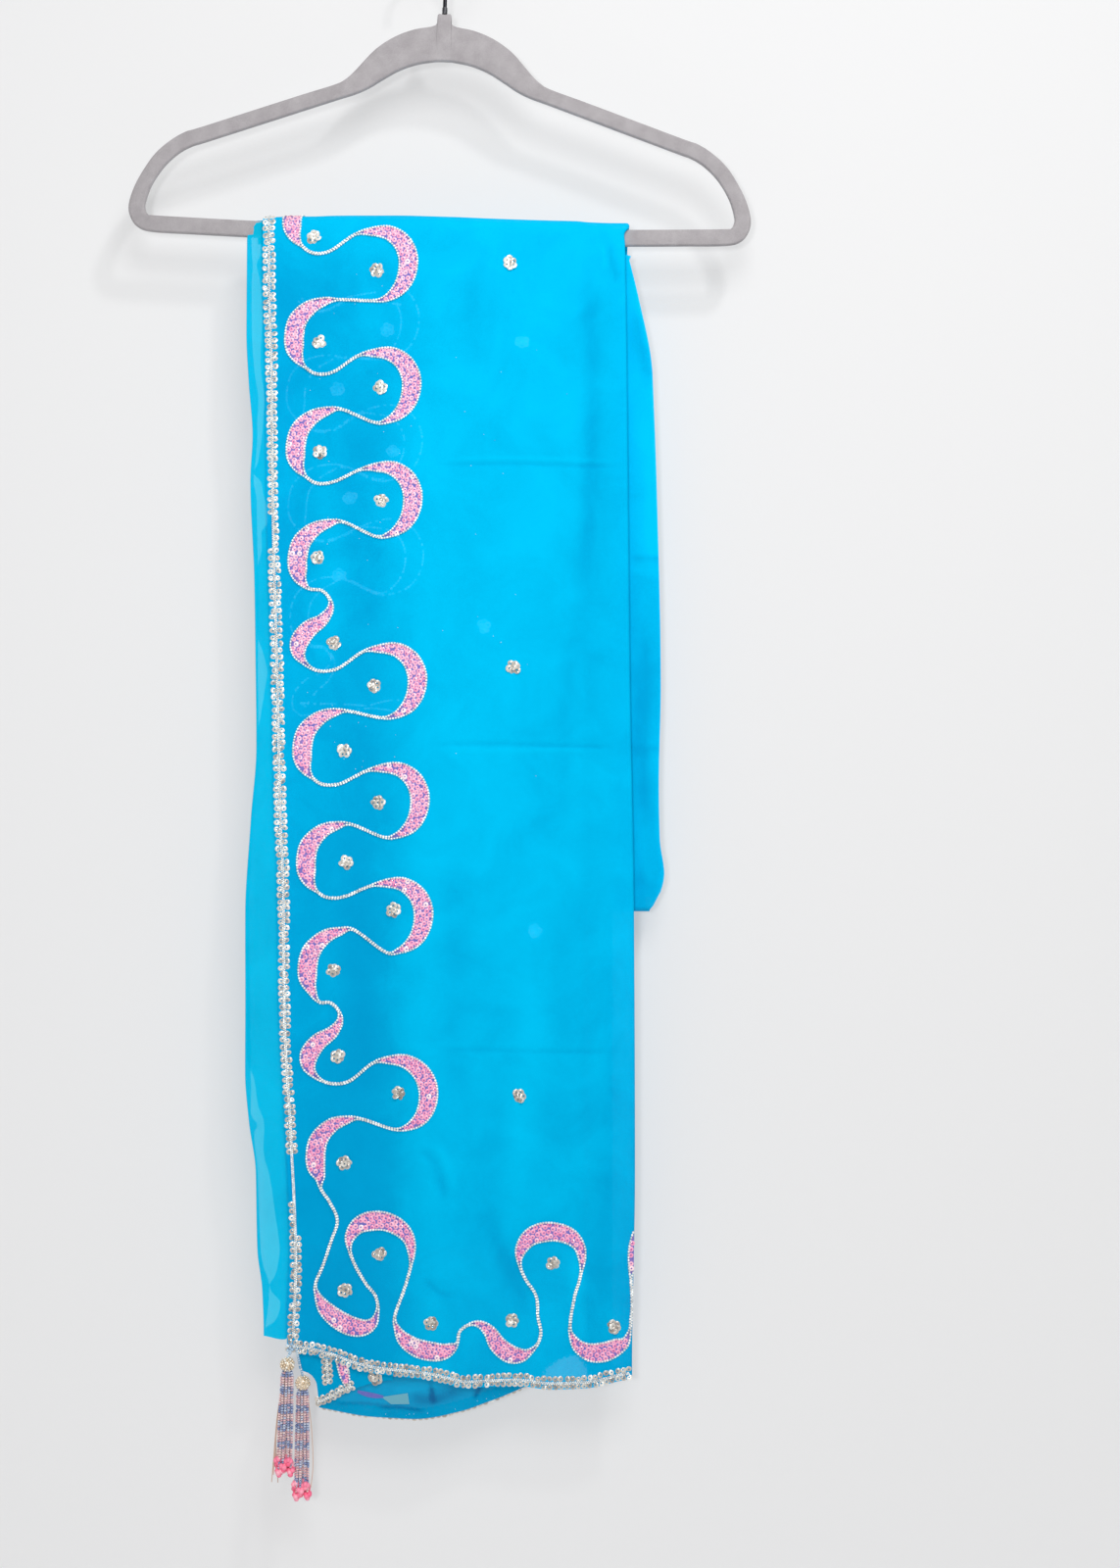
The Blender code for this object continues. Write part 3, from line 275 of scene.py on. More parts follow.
# Crescent near the border. Columns: along the border, away from it, half width.
NEAR_CRESCENT = (
    (-23, 50, 1.3), (-22.5, 40, 3.4), (-19, 29, 5.6), (-10.5, 20, 7), (0, 16.8, 7.3),
    (9.5, 16.8, 6.8), (17, 19, 4.2), (23.5, 24, 1.3), (28.5, 32, 1.3), (28, 44, 1.3),
)

# Crescent away from the border, with the same columns.
FAR_CRESCENT = (
    (-20.5, 61, 1.3), (-22.5, 73, 3.4), (-21.5, 85, 5.4), (-15, 94.5, 6.8), (-5.5, 99, 7.3),
    (4.5, 99, 7), (13.5, 96, 6.2), (20.5, 90.5, 4.8), (25.5, 82, 2.6), (26.5, 72, 1.3),
)

# Near crescent after a small turn of the cord, with the same columns.
HOOKED_CRESCENT = (
    (-33.5, 24.4, 1.3), (-32, 32.8, 1.3), (-25.5, 38.6, 1.4), (-18, 38.8, 3), (-10.5, 32.8, 5),
    (-5, 23.5, 6.6), (3.5, 16.6, 7), (11.5, 15.6, 5.4), (18, 18.8, 2.6), (23.7, 25.8, 1.3),
    (25.8, 34.2, 1.3), (23.7, 44.6, 1.3),
)

# Crescent of the hem's run that opens upwards, with the same columns.
CUP_CRESCENT = (
    (-23, 38, 1.3), (-21.5, 30, 2.6), (-16.5, 22.5, 5.4), (-8, 17.5, 6.9), (2, 16, 7.2),
    (11, 17.5, 6.2), (17.5, 22, 4.2), (20.5, 28.5, 2.2), (21.3, 36, 1.3), (19, 43, 1.3),
)

# Crescent of the hem's run that opens downwards, with the same columns.
ARCH_CRESCENT = (
    (-10.5, 53, 1.3), (-18.5, 64.5, 1.3), (-22.3, 74.5, 1.8), (-21.8, 83.5, 4.2), (-16, 93, 6.2),
    (-7, 98.5, 7.3), (3.5, 99.5, 7), (13.5, 96, 6.4), (20, 89, 4.8), (22, 80, 3.2),
    (21.5, 71, 1.5), (19.5, 62, 1.3), (16.5, 52, 1.3),
)

UNITS = {
    "near": NEAR_CRESCENT,
    "short": NEAR_CRESCENT[:-3],
    "far": FAR_CRESCENT,
    "hooked": HOOKED_CRESCENT,
    "cup": CUP_CRESCENT,
    "short cup": CUP_CRESCENT[:-3],
    "arch": ARCH_CRESCENT,
}

# The vine down the front. Columns: unit, step down the path, spangle's place
# along and away from the border. The first step starts at the crest.
SIDE_TURNS = (
    ("near", 3.5, 17, 32), ("far", 38, 5, 77), ("near", 48, 6, 34.5), ("far", 38, 2, 77),
    ("near", 40, 6, 34), ("far", 41, 1, 77), ("short", 39, 1, 31), ("hooked", 56.5, 6, 41),
    ("far", 33.5, 4, 68.5), ("near", 44.5, 5, 46.5), ("far", 40.5, 2, 69.5), ("near", 40, 4, 45),
    ("far", 41.8, -3.5, 78), ("short", 33.5, 5, 35), ("hooked", 60, 6, 37), ("far", 32.3, 1, 78),
    ("short", 42, 8, 37),
)

# The vine along the hem. Columns: unit, centre x, rise, spangle's place along
# and away from the hem.
HEM_TURNS = (
    ("cup", -70, 9, -2, 49), ("arch", -46.5, 5, -1, 81), ("short cup", -13.5, 0, 3, 36),
    ("hooked", 41.5, 2, 5, 42), ("arch", 74.5, 8, 1.5, 85), ("cup", 111, 3, 8, 35),
)
HEM_VINE_END = 124.0

# The vine's last stretch, up the folded right edge. Columns: x, z, half width.
RIGHT_END = (
    (126.6, -1006.4, 4.2), (129.3, -1001.6, 2.4), (130.8, -996, 1.3), (131.3, -990, 1.3),
    (131.9, -984, 1.3), (131.9, -971, 1.3), (131.3, -961.5, 1.3), (131.7, -955, 2.4),
    (132.4, -948.5, 3.6), (133, -941, 4), (133.8, -932.5, 3.2), (135.2, -924.5, 1.6),
    (136.6, -917, 1.3),
)

# Where the hem's vine has sequins with a painted glint: x, z.
GLINT = (-21.3, -1005.8)

# What shows of the embroidery on the near leaf of the under half. Columns: x, z, half width.
LEAF_CRESCENT = (
    (-75.2, -1014, 4.4), (-74.4, -1021, 4.5), (-72.8, -1029, 4.2), (-71.2, -1035, 3.3),
    (-69.4, -1040.5, 1.8),
)
LEAF_COLUMN = ((-85.6, -1017.0), (-85.0, -1026.0), (-84.2, -1035.6))
LEAF_SPANGLE = (-50.6, -1032.6)
UNDER_BAND = (
    (-63.4, -1042.6, 0.9), (-57, -1044.6, 1.7), (-50.5, -1045.8, 1.6), (-45, -1046.4, 0.8),
)
UNDER_PATCH = ((-46.4, -1046.6), (-27.6, -1043.4), (-39.5, -1051.6), (-26.4, -1051.2))

# Painted shade and light of the folds in the hanging part of the under half: dark lines, and paler ones
# where the height is above 0, with the columns of the creases.
UNDER_CREASES = (
    (-13, -1033, -7.6, -1052, 2, -0.8), (24, -1034, 20.4, -1050, 1.8, -0.6),
    (-52, -1053, -12, -1055.5, 1.7, -0.5), (-84, -1050.5, -40, -1052.5, 1.5, -0.35),
    (-40, -1041.5, 2, -1036, 2.2, 0.55), (-30, -1049, 14, -1043, 4.5, -0.45),
    (-88, -1032, -66, -1020, 3.5, -0.3), (34, -1040, 60, -1030, 3, 0.25),
)

# The vine of the under half, faint through the front: how far it is off the front's own in
# x, way down and half width, and where it starts and ends. Its spangles' columns: x, z.
GHOST_SHIFT = (1.0, 40.5, 0.0)
GHOST_REACH = (24.0, 316.0)
GHOST_SPANGLES = (
    (-42.2, -286.7), (-38, -372.5), (-77.4, -328.5), (-68.7, -405.7), (-76.4, -461),
    (26.9, -497.3), (53.8, -295), (63.1, -714.2),
)

# Tassels at the hem's left corner. Columns: head x, y and z, head radius, lean of
# the strands in x, their length, ring of the buds, root x, y and z, painted light of the head (the
# second head lies in shade).
TASSELS = {
    "tassel_1": (-112.3, -13.2, -1020.8, 5.4, -2.2, 74.0, 4.9, -110.4, -7.2, -1014.0, 0.64),
    "tassel_2": (-102.2, -6.2, -1035.8, 5.6, -0.9, 78.0, 4.7, -106.4, -7.3, -1014.4, 0.36),
}
STRANDS = 11
STRAND_RING = 3.9
STRAND_RING_DEPTH = 0.75
STRAND_BAND = 6.4
BUD_LENGTH = 7.0
BUD_STAGGER = 8.0

# Loose peach threads beside the tassels. Columns: x, y, z.
WHISKERS = (
    ((-115.5, -13, -1031), (-119.6, -12.6, -1058), (-121.9, -12.2, -1084), (-123.6, -12, -1104.5)),
    ((-115, -14, -1034), (-119, -13.6, -1060), (-121.4, -13.2, -1086), (-122.3, -13, -1099)),
    ((-114.6, -12.4, -1030), (-117.8, -12, -1056), (-119.6, -11.8, -1082), (-119.2, -11.6, -1105)),
    ((-114.2, -13.4, -1032), (-117, -13, -1054), (-118.8, -12.6, -1072), (-120.6, -12.4, -1092)),
    ((-98.4, -6.4, -1046), (-95.8, -6.6, -1070), (-94.9, -6.8, -1094), (-96.4, -7, -1110)),
    ((-115.8, -12, -1036), (-118.8, -11.8, -1052), (-120.4, -11.6, -1072), (-121, -11.4, -1088)),
    ((-114.8, -11.6, -1040), (-117.2, -11.4, -1056), (-118, -11.2, -1070), (-118.4, -11, -1086)),
    ((-116.2, -12.8, -1042), (-119.4, -12.6, -1062), (-120.9, -12.4, -1078), (-122.8, -12.2, -1096)),
)

# Pale blue beads at the tassels' root. Columns: x, y, z.
CORNER_BEADS = (
    (-113, -8.4, -1008.6), (-111, -8.8, -1010.4), (-112.6, -9, -1012), (-109.4, -9.2, -1011.4),
    (-110.8, -9.8, -1013.6), (-108.2, -9, -1009.2), (-110, -9, -1007.6),
)

# Where the vine turns the corner from the side to the hem. Columns: x, z, half width.
CORNER_CORD = (
    (-89.3, -897, 1.3), (-82.8, -907, 1.3), (-77.4, -920, 1.3), (-82, -935, 1.3),
    (-87.5, -951.5, 1.3),
)

# Spangles on the open field of the front. Columns: x, z.
FIELD_SPANGLES = ((45.7, -239.2), (47.8, -526.6), (52.0, -831.4))

# The vine at the back
BACK_TURN_PITCH = 40.0
BACK_TURN_COUNT = 12
BACK_VINE_END = -478.0
BACK_VINE_START = -13.0
BACK_SPANGLE_ALONG = 4.0
BACK_SPANGLE_AWAY = {"near": 37.0, "far": 75.0}

# Upright folds of the front. Columns: depth, width, how far one falls to drift by its width, start.
FRONT_FOLDS = ((1.7, 121.0, 2600.0, 0.08), (0.8, 63.0, -1900.0, -0.2))

# Soft creases of the front. Columns: one end x and z, other end x and z, half
# width, height out from the cloth (a trough is below 0).
# Each crease is also painted: shade in a trough, light on a ridge.
FRONT_CREASES = (
    (-14, -382, 131, -383, 1.7, -0.45), (-14, -378.6, 131, -379.2, 1.7, 0.3),
    (-20, -581, 131, -583, 1.7, -0.42), (-10, -585, 120, -586.4, 1.9, 0.3),
    (-12, -799, 134, -800, 1.9, -0.36), (-5, -770, 90, -771, 6, -0.2),
    (104, -222, 101, -420, 6, -0.35), (101, -380, 81, -655, 7, -0.3),
    (116, -224, 121, -256, 2.5, -0.5), (111, -224, 113.5, -246, 2, 0.35),
    (-14.5, -865, 2, -907, 3.5, -0.5), (-8, -862, 9, -903, 3, 0.3),
    (-17.5, -960, 5, -977, 2.5, -0.45), (-60, -226, -52, -300, 9, 0.35),
    (20, -222, 24, -330, 10, -0.35), (62, -700, 50, -960, 13, 0.5),
    (118, -720, 112, -1000, 8, -0.28), (0, -640, 8, -860, 14, -0.45),
    (-84, -330, -88, -560, 12, 0.35), (-60, -620, -66, -850, 12, -0.4),
    (28, -905, 60, -1000, 6, -0.45), (88, -930, 100, -1020, 5, 0.4),
    (-100, -960, -60, -1000, 7, -0.35),
)

# Soft creases of the back, with the same columns.
# Each crease is also painted: shade in a trough, light on a ridge.
BACK_CREASES = (
    (-98, -372, 146, -376, 5.5, -0.6), (-90, -365, 120, -368, 4, 0.3),
    (-96, -556, 150, -552, 6, -0.5), (60, -232, 78, -470, 9, -0.9), (100, -240, 128, -420, 7, 0.7),
    (-20, -230, -8, -520, 11, -0.7), (-70, -240, -60, -400, 9, 0.5), (20, -420, 10, -690, 12, 0.6),
    (118, -480, 108, -695, 8, -0.7), (52, -560, 64, -698, 7, -0.5),
    (-62, -520, -54, -695, 9, -0.5),
)

# Soft creases of the folded bundle's side that shows beside the front.
# Each crease is also painted: shade in a trough, light on a ridge.
BUNDLE_CREASES = (
    (128, -448, 157, -450, 2.4, -0.8), (128, -453.4, 157, -455.4, 2.4, 0.4),
    (128, -584, 157, -586, 2.6, -0.6), (132, -678, 154, -682, 5, -0.4),
    (134, -262, 146, -330, 5, -0.8), (142, -330, 146, -470, 4, 0.7),
    (139, -480, 143, -660, 5, -0.7),
)


def smooth(value):
    """Zero to one with level ends."""
    part = np.clip(value, 0, 1)
    return part * part * (3 - 2 * part)


def between(low, high, part):
    return low + (high - low) * part


def tilted(x, y, z):
    """A point of the hanger's own frame, turned about the hook's seat."""
    sine, cosine = math.sin(HANGER_TILT), math.cos(HANGER_TILT)
    return np.array((x * cosine + z * sine, y, z * cosine - x * sine))


def bar_sag(along):
    return BAR_SAG * (1 - (along / BAR_HALF_SPAN) ** 2)


def round_centre(x):
    """Height of the middle of the bar's rounded top, under the cloth at x."""
    along = x + BAR_TOP * math.sin(HANGER_TILT)
    top = (BAR_TOP + bar_sag(along)) * math.cos(HANGER_TILT)
    return -top - along * math.sin(HANGER_TILT) - HANGER_HALF_THICK


BUNDLE_DROP = round_centre(100) - BUNDLE_FOOT


def creased(table, x, z):
    """Height of the soft creases of a table at points of the cloth."""
    total = 0
    for x0, z0, x1, z1, width, height in table:
        run_x, run_z = x1 - x0, z1 - z0
        length = math.hypot(run_x, run_z)
        part = ((x - x0) * run_x + (z - z0) * run_z) / length**2
        off = ((x - x0) * run_z - (z - z0) * run_x) / length
        wander = 0.35 * width * np.sin(part * 7 + x0)
        fade = smooth(part / 0.25) * smooth((1 - part) / 0.25)
        total = total + height * fade * np.exp(-(((off + wander) / width) ** 2))
    return total


def ripple(x, drop):
    """Soft upright folds of the front, deeper towards the hem, and its one long trough."""
    waves = sum(
        depth * np.sin(math.tau * (x / width + drop / lean + start))
        for depth, width, lean, start in FRONT_FOLDS
    )
    trough_x = 102 - 22 * smooth((drop - 300) / 350)
    trough = np.exp(-(((x - trough_x) / 12) ** 2))
    trough = trough * smooth(drop / 60) * (1 - smooth((drop - 250) / 450))
    return waves * smooth(drop / 750) - trough


def front_reach(x, drop):
    """Outer face of the front, measured from the bar's middle."""
    relaxed = between(heap(x) - FRONT_WALL / 2, HANG_DEPTH, smooth(drop / RELAX_DROP))
    crease = creased(FRONT_CREASES, x, round_centre(x) - drop) * smooth(drop / 12)
    return HANGER_HALF_THICK + relaxed + ripple(x, drop) + crease + FRONT_WALL / 2


def back_reach(x, drop):
    """Outer face of the back, measured from the bar's middle."""
    wave = 0.9 * np.sin(math.tau * (x / 150 + 0.3)) * smooth((drop - 60) / 200)
    spread = smooth((drop - OVER_BACK_END) / BACK_SPREAD_DROP)
    depth = between(heap(x) - FRONT_WALL / 2, BACK_DEPTH, spread) + wave
    crease = creased(BACK_CREASES, x, round_centre(x) - drop) * smooth(drop / 12)
    return HANGER_HALF_THICK + depth + crease + FRONT_WALL / 2


def surface(x, along, lift=0):
    """Points at a lift over the outer cloth."""
    x, along, lift = np.broadcast_arrays(*(np.asarray(v, float) for v in (x, along, lift)))
    crest = front_reach(x, 0 * x)
    way = np.abs(along)
    quarter = crest * math.pi / 2
    side = np.where(along >= 0, -1, 1)
    angle = np.minimum(way / crest, math.pi / 2)
    arc = crest + ARC_SEAT * np.cos(angle) ** 2 + lift
    drop = np.maximum(way - quarter, 0)
    reach = np.where(along >= 0, front_reach(x, drop), back_reach(x, drop)) + lift
    over = way < quarter
    depth = side * np.where(over, arc * np.sin(angle), reach)
    height = round_centre(x) + np.where(over, arc * np.cos(angle), -drop)
    return np.stack([x, depth, height], axis=-1)


def along_at(x, z):
    """Way down the front from the crest to a height below the bar's top."""
    return front_reach(x, 0 * x) * math.pi / 2 + round_centre(x) - z


def height_at(x, along):
    return surface(x, along)[..., 2]


def line_at(x, z):
    """A line on the front from x and z: x and way down at each point."""
    return np.stack([x, along_at(x, z)], axis=1)


def front_at(x, z, lift):
    return surface(x, along_at(x, z), lift)


def on_cloth(table):
    """Rows of x and z, with z turned into the way down and any further column kept."""
    return [(x, along_at(x, z), *rest) for x, z, *rest in table]


def unit(vectors):
    return vectors / np.maximum(np.linalg.norm(vectors, axis=-1, keepdims=True), 1e-9)


def square_to(way, other):
    """A way turned square to another one."""
    return unit(way - other * np.sum(way * other, axis=1, keepdims=True))


def frames(x, along, lift):
    """Points over the cloth, with the ways out, down and across there."""
    step = 0.6
    down = unit(surface(x, along + step) - surface(x, along - step))
    across = unit(surface(x + step, along) - surface(x - step, along))
    out = unit(np.cross(across, down))
    return surface(x, along, lift), out, down, unit(np.cross(down, out))


def linked(made):
    bpy.context.scene.collection.objects.link(made)
    return made


def make_mesh(name, points, faces, finish, tint=None):
    """A smooth mesh object from points in millimetres."""
    mesh = bpy.data.meshes.new(name)
    mesh.from_pydata((np.asarray(points) * MM).tolist(), [], faces)
    mesh.shade_smooth()
    mesh.set_sharp_from_angle(angle=math.radians(45))
    if tint is not None:
        values = mesh.attributes.new("tint", "FLOAT", "POINT").data
        values.foreach_set("value", np.asarray(tint, np.float32))
    mesh.materials.append(finish)
    return linked(bpy.data.objects.new(name, mesh))


def dressed(piece, slot, *nodes):
    """Rides a piece on the one body, and hides the nodes that it stands for. The slot is not used."""
    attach(piece, "root")
    if nodes:
        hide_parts(*nodes)
    return piece


def grid(name, rows, finish, slot, *nodes, closed=False, tint=None):
    """A dressed sheet through rows of equal length, as millimetre points."""
    count, size = len(rows), len(rows[0])
    index = np.arange(count * size).reshape(count, size)
    after = np.roll(index, -1, axis=1) if closed else index[:, 1:]
    before = index if closed else index[:, :-1]
    quads = np.stack([before[:-1], after[:-1], after[1:], before[1:]], axis=-1)
    piece = make_mesh(name, np.concatenate(rows), quads.reshape(-1, 4).tolist(), finish, tint)
    return dressed(piece, slot, *nodes)


def scattered(name, shape, places, finish, slot, *nodes):
    """Copies of one shape. Each place: centre, ways of its x and z, size x, y, z and tint."""
    shape_points, shape_faces, painted_shape_shade = shape
    centre, ahead, out, size, tint = places
    axes = np.stack([ahead, np.cross(out, ahead), out], axis=1)
    scaled = shape_points[None, :, :] * size[:, None, :]
    points = centre[:, None, :] + np.einsum("nki,nij->nkj", scaled, axes)
    count = len(shape_points)
    faces = [
        tuple(corner + count * copy for corner in face)
        for copy in range(len(centre))
        for face in shape_faces
    ]
    # Each copy's tint plus the shape's own painted shade and highlight.
    tints = np.clip(tint[:, None] + painted_shape_shade[None, :], 0, 1)
    piece = make_mesh(name, points.reshape(-1, 3), faces, finish, tints.reshape(-1))
    return dressed(piece, slot, *nodes)


def ringed(rings, sides, caps=True):
    """A round shape from rings. Each ring: radius, height."""
    turns = np.arange(sides) * math.tau / sides
    points = [(r * math.cos(t), r * math.sin(t), h) for r, h in rings for t in turns]
    faces = []
    for low in range(0, (len(rings) - 1) * sides, sides):
        for k in range(sides):
            j = (k + 1) % sides
            faces.append((low + k, low + j, low + sides + j, low + sides + k))
    if caps:
        last = (len(rings) - 1) * sides
        faces.append(tuple(range(sides - 1, -1, -1)))
        faces.append(tuple(last + k for k in range(sides)))
    return np.array(points), faces


# A sequin's own tint: painted shade in its middle and a painted highlight on its rim.
SEQUIN_RINGS = ((0.26, 0.03), (0.62, 0), (1, 0.25))
SEQUIN = ringed(SEQUIN_RINGS, 9, caps=False) + (np.repeat((-0.26, -0.08, 0.16), 9),)
BEAD_RINGS = ((0.5, -0.5), (1, -0.27), (1, 0.27), (0.5, 0.5))
bead_points, bead_faces = ringed(BEAD_RINGS, 6)
# A bead's own tint: painted shade at its two ends, where the beads meet.
BEAD = (bead_points[:, [2, 0, 1]], bead_faces, np.repeat((-0.4, 0.08, 0.08, -0.4), 6))
BALL_TURNS = np.radians((-78, -45, -15, 15, 45, 78))
BALL = ringed([(math.cos(t), math.sin(t)) for t in BALL_TURNS], 8) + (np.zeros(48),)


def join_places(*several):
    return tuple(np.concatenate(parts) for parts in zip(*several))


def sequin_places(x, along, radius, lift, tint, lean):
    """Places for sequins that lie on the cloth, each a little tilted."""
    count = len(x)
    centre, out, down, across = frames(x, along, lift)
    tilt = DRAW.normal(0, lean, (count, 2))
    out = unit(out + down * tilt[:, :1] + across * tilt[:, 1:])
    turn = DRAW.uniform(0, math.tau, count)[:, None]
    ahead = square_to(down * np.cos(turn) + across * np.sin(turn), out)
    sizes = np.repeat((radius * DRAW.uniform(0.94, 1.06, count))[:, None], 3, axis=1)
    return centre, ahead, out, sizes, tint


def resample(points, pitch):
    """Points an even pitch apart along a path."""
    steps = np.linalg.norm(np.diff(points, axis=0), axis=1)
    ways = np.concatenate([[0], np.cumsum(steps)])
    count = max(2, int(round(ways[-1] / pitch)) + 1)
    wanted = np.linspace(0, ways[-1], count)
    return np.stack([np.interp(wanted, ways, column) for column in points.T], axis=1)


def spline(points, steps):
    """A smooth path through points, of any number of columns."""
    points = np.asarray(points, float)
    last = len(points) - 1
    made = []
    for i in range(last):
        p0, p1, p2, p3 = (points[min(last, max(0, i + k))] for k in (-1, 0, 1, 2))
        for t in np.arange(steps) / steps:
            value = 2 * p1 + (p2 - p0) * t + (2 * p0 - 5 * p1 + 4 * p2 - p3) * t**2
            made.append((value + (3 * p1 - p0 - 3 * p2 + p3) * t**3) / 2)
    return np.array(made + [points[-1]])


def border_x(along):
    if along >= 0:
        return side_border(CREST_Z - along)
    return back_left(CREST_Z + along) + BORDER_HALF_WIDTH - 0.2


def side_turns():
    """The turns of the vine down the front: unit, its way down and its spangle's place."""
    place = 0
    for name, step, along, away in SIDE_TURNS:
        place += step
        yield name, place, along, away


def back_turn(index):
    """Which unit a turn of the vine at the back is, and its way down."""
    return "far" if index % 2 else "near", SIDE_TURNS[0][1] - BACK_TURN_PITCH * index


def full_vine():
    """Centre line of the running vine. Each point: x, way down the front, half width."""
    turns = [back_turn(index) for index in range(BACK_TURN_COUNT, 0, -1)]
    turns += [(name, place) for name, place, _, _ in side_turns()]
    path = [
        (border_x(place + a) + away, place + a, half)
        for name, place in turns
        for a, away, half in UNITS[name]
    ]
    path += on_cloth(CORNER_CORD)
    for name, centre, rise, _, _ in HEM_TURNS:
        unit_rows = [(centre + a, away, half) for a, away, half in UNITS[name]]
        path += on_cloth(
            (x, hem_border(x) + away + rise, half) for x, away, half in unit_rows if x < HEM_VINE_END
        )
    return spline(path + on_cloth(RIGHT_END), 12)


def way_of(path):
    return unit(np.gradient(path[:, :2], axis=0))


def offset_path(path, offsets):
    """A path moved sideways in the flat of the cloth, by one offset or one for each point."""
    run = way_of(path)
    offsets = np.broadcast_to(offsets, len(path))
    return path[:, :2] + np.stack([-run[:, 1], run[:, 0]], axis=1) * offsets[:, None]


def cord_places(line, beads, lift, phase=0):
    """Places for beads strung along a line on the cloth. The line: x, way down."""
    pitch, radius, length = beads
    points = resample(line, pitch)
    if phase:
        points = points[:-1] + (points[1:] - points[:-1]) * phase
    run = unit(np.gradient(points, axis=0))
    centre, out, down, across = frames(points[:, 0], points[:, 1], lift)
    count = len(points)
    ahead = unit(across * run[:, :1] + down * run[:, 1:])
    ahead = unit(ahead + out * DRAW.normal(0, 0.10, (count, 1)))
    size = [length * DRAW.uniform(0.9, 1.1, count)]
    size += [radius * DRAW.uniform(0.92, 1.08, count) for _ in range(2)]
    return centre, ahead, square_to(out, ahead), np.stack(size, axis=1), DRAW.uniform(0, 1, count)


def cord_pair(lines, beads, lift, phase=0.5):
    """Places for beads along two lines, the second's beads a part of a pitch further on."""
    return join_places(
        cord_places(lines[0], beads, lift), cord_places(lines[1], beads, lift, phase)
    )


def runs_of(kept):
    """Stretches of places in a row that are kept, three or more long."""
    breaks = np.where(np.diff(kept.astype(int)) != 0)[0] + 1
    pieces = np.split(np.arange(len(kept)), breaks)
    return [piece for piece in pieces if kept[piece[0]] and len(piece) > 2]


def crescent_fill(path):
    """Spots for the sequins of each crescent, packed close from one end to the other."""
    spots = []
    for piece in runs_of(path[:, 2] > FILLED_HALF_WIDTH):
        placed = []
        for x, along, half, run_x, run_y in np.hstack([path[piece], way_of(path[piece])]):
            reach = max(0, half - SEQUIN_INSET)
            for off in np.arange(-reach, reach + 0.01, max(0.2, reach / 8)):
                spot = (x - run_y * off, along + run_x * off)
                if all(math.dist(spot, other) >= SEQUIN_GAP for other in placed[-14:]):
                    placed.append(spot)
        spots += placed
    return np.array(spots)


def node(tree, kind, links=(), **settings):
    """A shader node. A link: input name, then the node and output that feed it."""
    made = tree.nodes.new(kind)
    inputs = settings.pop("inputs", {})
    for name, value in settings.items():
        setattr(made, name, value)
    for name, value in inputs.items():
        made.inputs[name].default_value = value
    for name, source, output in links:
        tree.links.new(source.outputs[output], made.inputs[name])
    return made


def new_material(name, numbers):
    """A finish with numbers set on its own shader: finish, tree, shader and output."""
    made = bpy.data.materials.new(name)
    made.use_nodes = True
    shader = made.node_tree.nodes["Principled BSDF"]
    for key, value in numbers.items():
        shader.inputs[key].default_value = value
    return made, made.node_tree, shader, made.node_tree.nodes["Material Output"]


def linear(red, green, blue):
    """A colour given as 0 to 255 display values."""
    parts = [v / 255 for v in (red, green, blue)]
    return tuple(v / 12.92 if v <= 0.04045 else ((v + 0.055) / 1.055) ** 2.4 for v in parts)


def coloured(tree, shader, stops, source, output="Fac"):
    """Colours the shader by a node's output. A stop: place, colour."""
    made = node(tree, "ShaderNodeValToRGB", [("Fac", source, output)])
    while len(made.color_ramp.elements) < len(stops):
        made.color_ramp.elements.new(0.5)
    for element, (place, colour) in zip(made.color_ramp.elements, stops):
        element.position = place
        element.color = (*colour, 1)
    tree.links.new(made.outputs["Color"], shader.inputs["Base Color"])
    return made


def bumped(tree, shader, strength, distance, height, output="Fac"):
    made = node(
        tree,
        "ShaderNodeBump",
        [("Height", height, output)],
        inputs={"Strength": strength, "Distance": distance},
    )
    tree.links.new(made.outputs["Normal"], shader.inputs["Normal"])
    return made


def texture(tree, kind, scale, detail, inputs, **settings):
    """A texture in the object's own space."""
    place = node(tree, "ShaderNodeTexCoord")
    inputs = {"Scale": scale, "Detail": detail, **inputs}
    return node(tree, kind, [("Vector", place, "Object")], inputs=inputs, **settings)


def noise(tree, scale, detail, roughness=0.5, distortion=0):
    inputs = {"Roughness": roughness, "Distortion": distortion}
    return texture(tree, "ShaderNodeTexNoise", scale, detail, inputs)


def yarns(tree, way, scale):
    """Fine uneven bands: the yarns of one way of the weave."""
    inputs = {"Distortion": 1.6, "Detail Scale": 2}
    return texture(tree, "ShaderNodeTexWave", scale, 2, inputs, bands_direction=way)


def added(tree, first, share, second):
    """A share of one node's Fac with another node's Value added."""
    links = [(0, first, "Fac"), (2, second, "Value")]
    return node(tree, "ShaderNodeMath", links, operation="MULTIPLY_ADD", inputs={1: share})


def mixed(tree, first, second, share):
    """Two nodes' Fac, with a share of the second."""
    links = [("A", first, "Fac"), ("B", second, "Fac")]
    return node(tree, "ShaderNodeMix", links, data_type="FLOAT", inputs={"Factor": share})


def blended(tree, first, second, share):
    """Two shaders, with a share of the second."""
    links = [(1, first, 0), (2, second, 0)]
    return node(tree, "ShaderNodeMixShader", links, inputs={0: share})


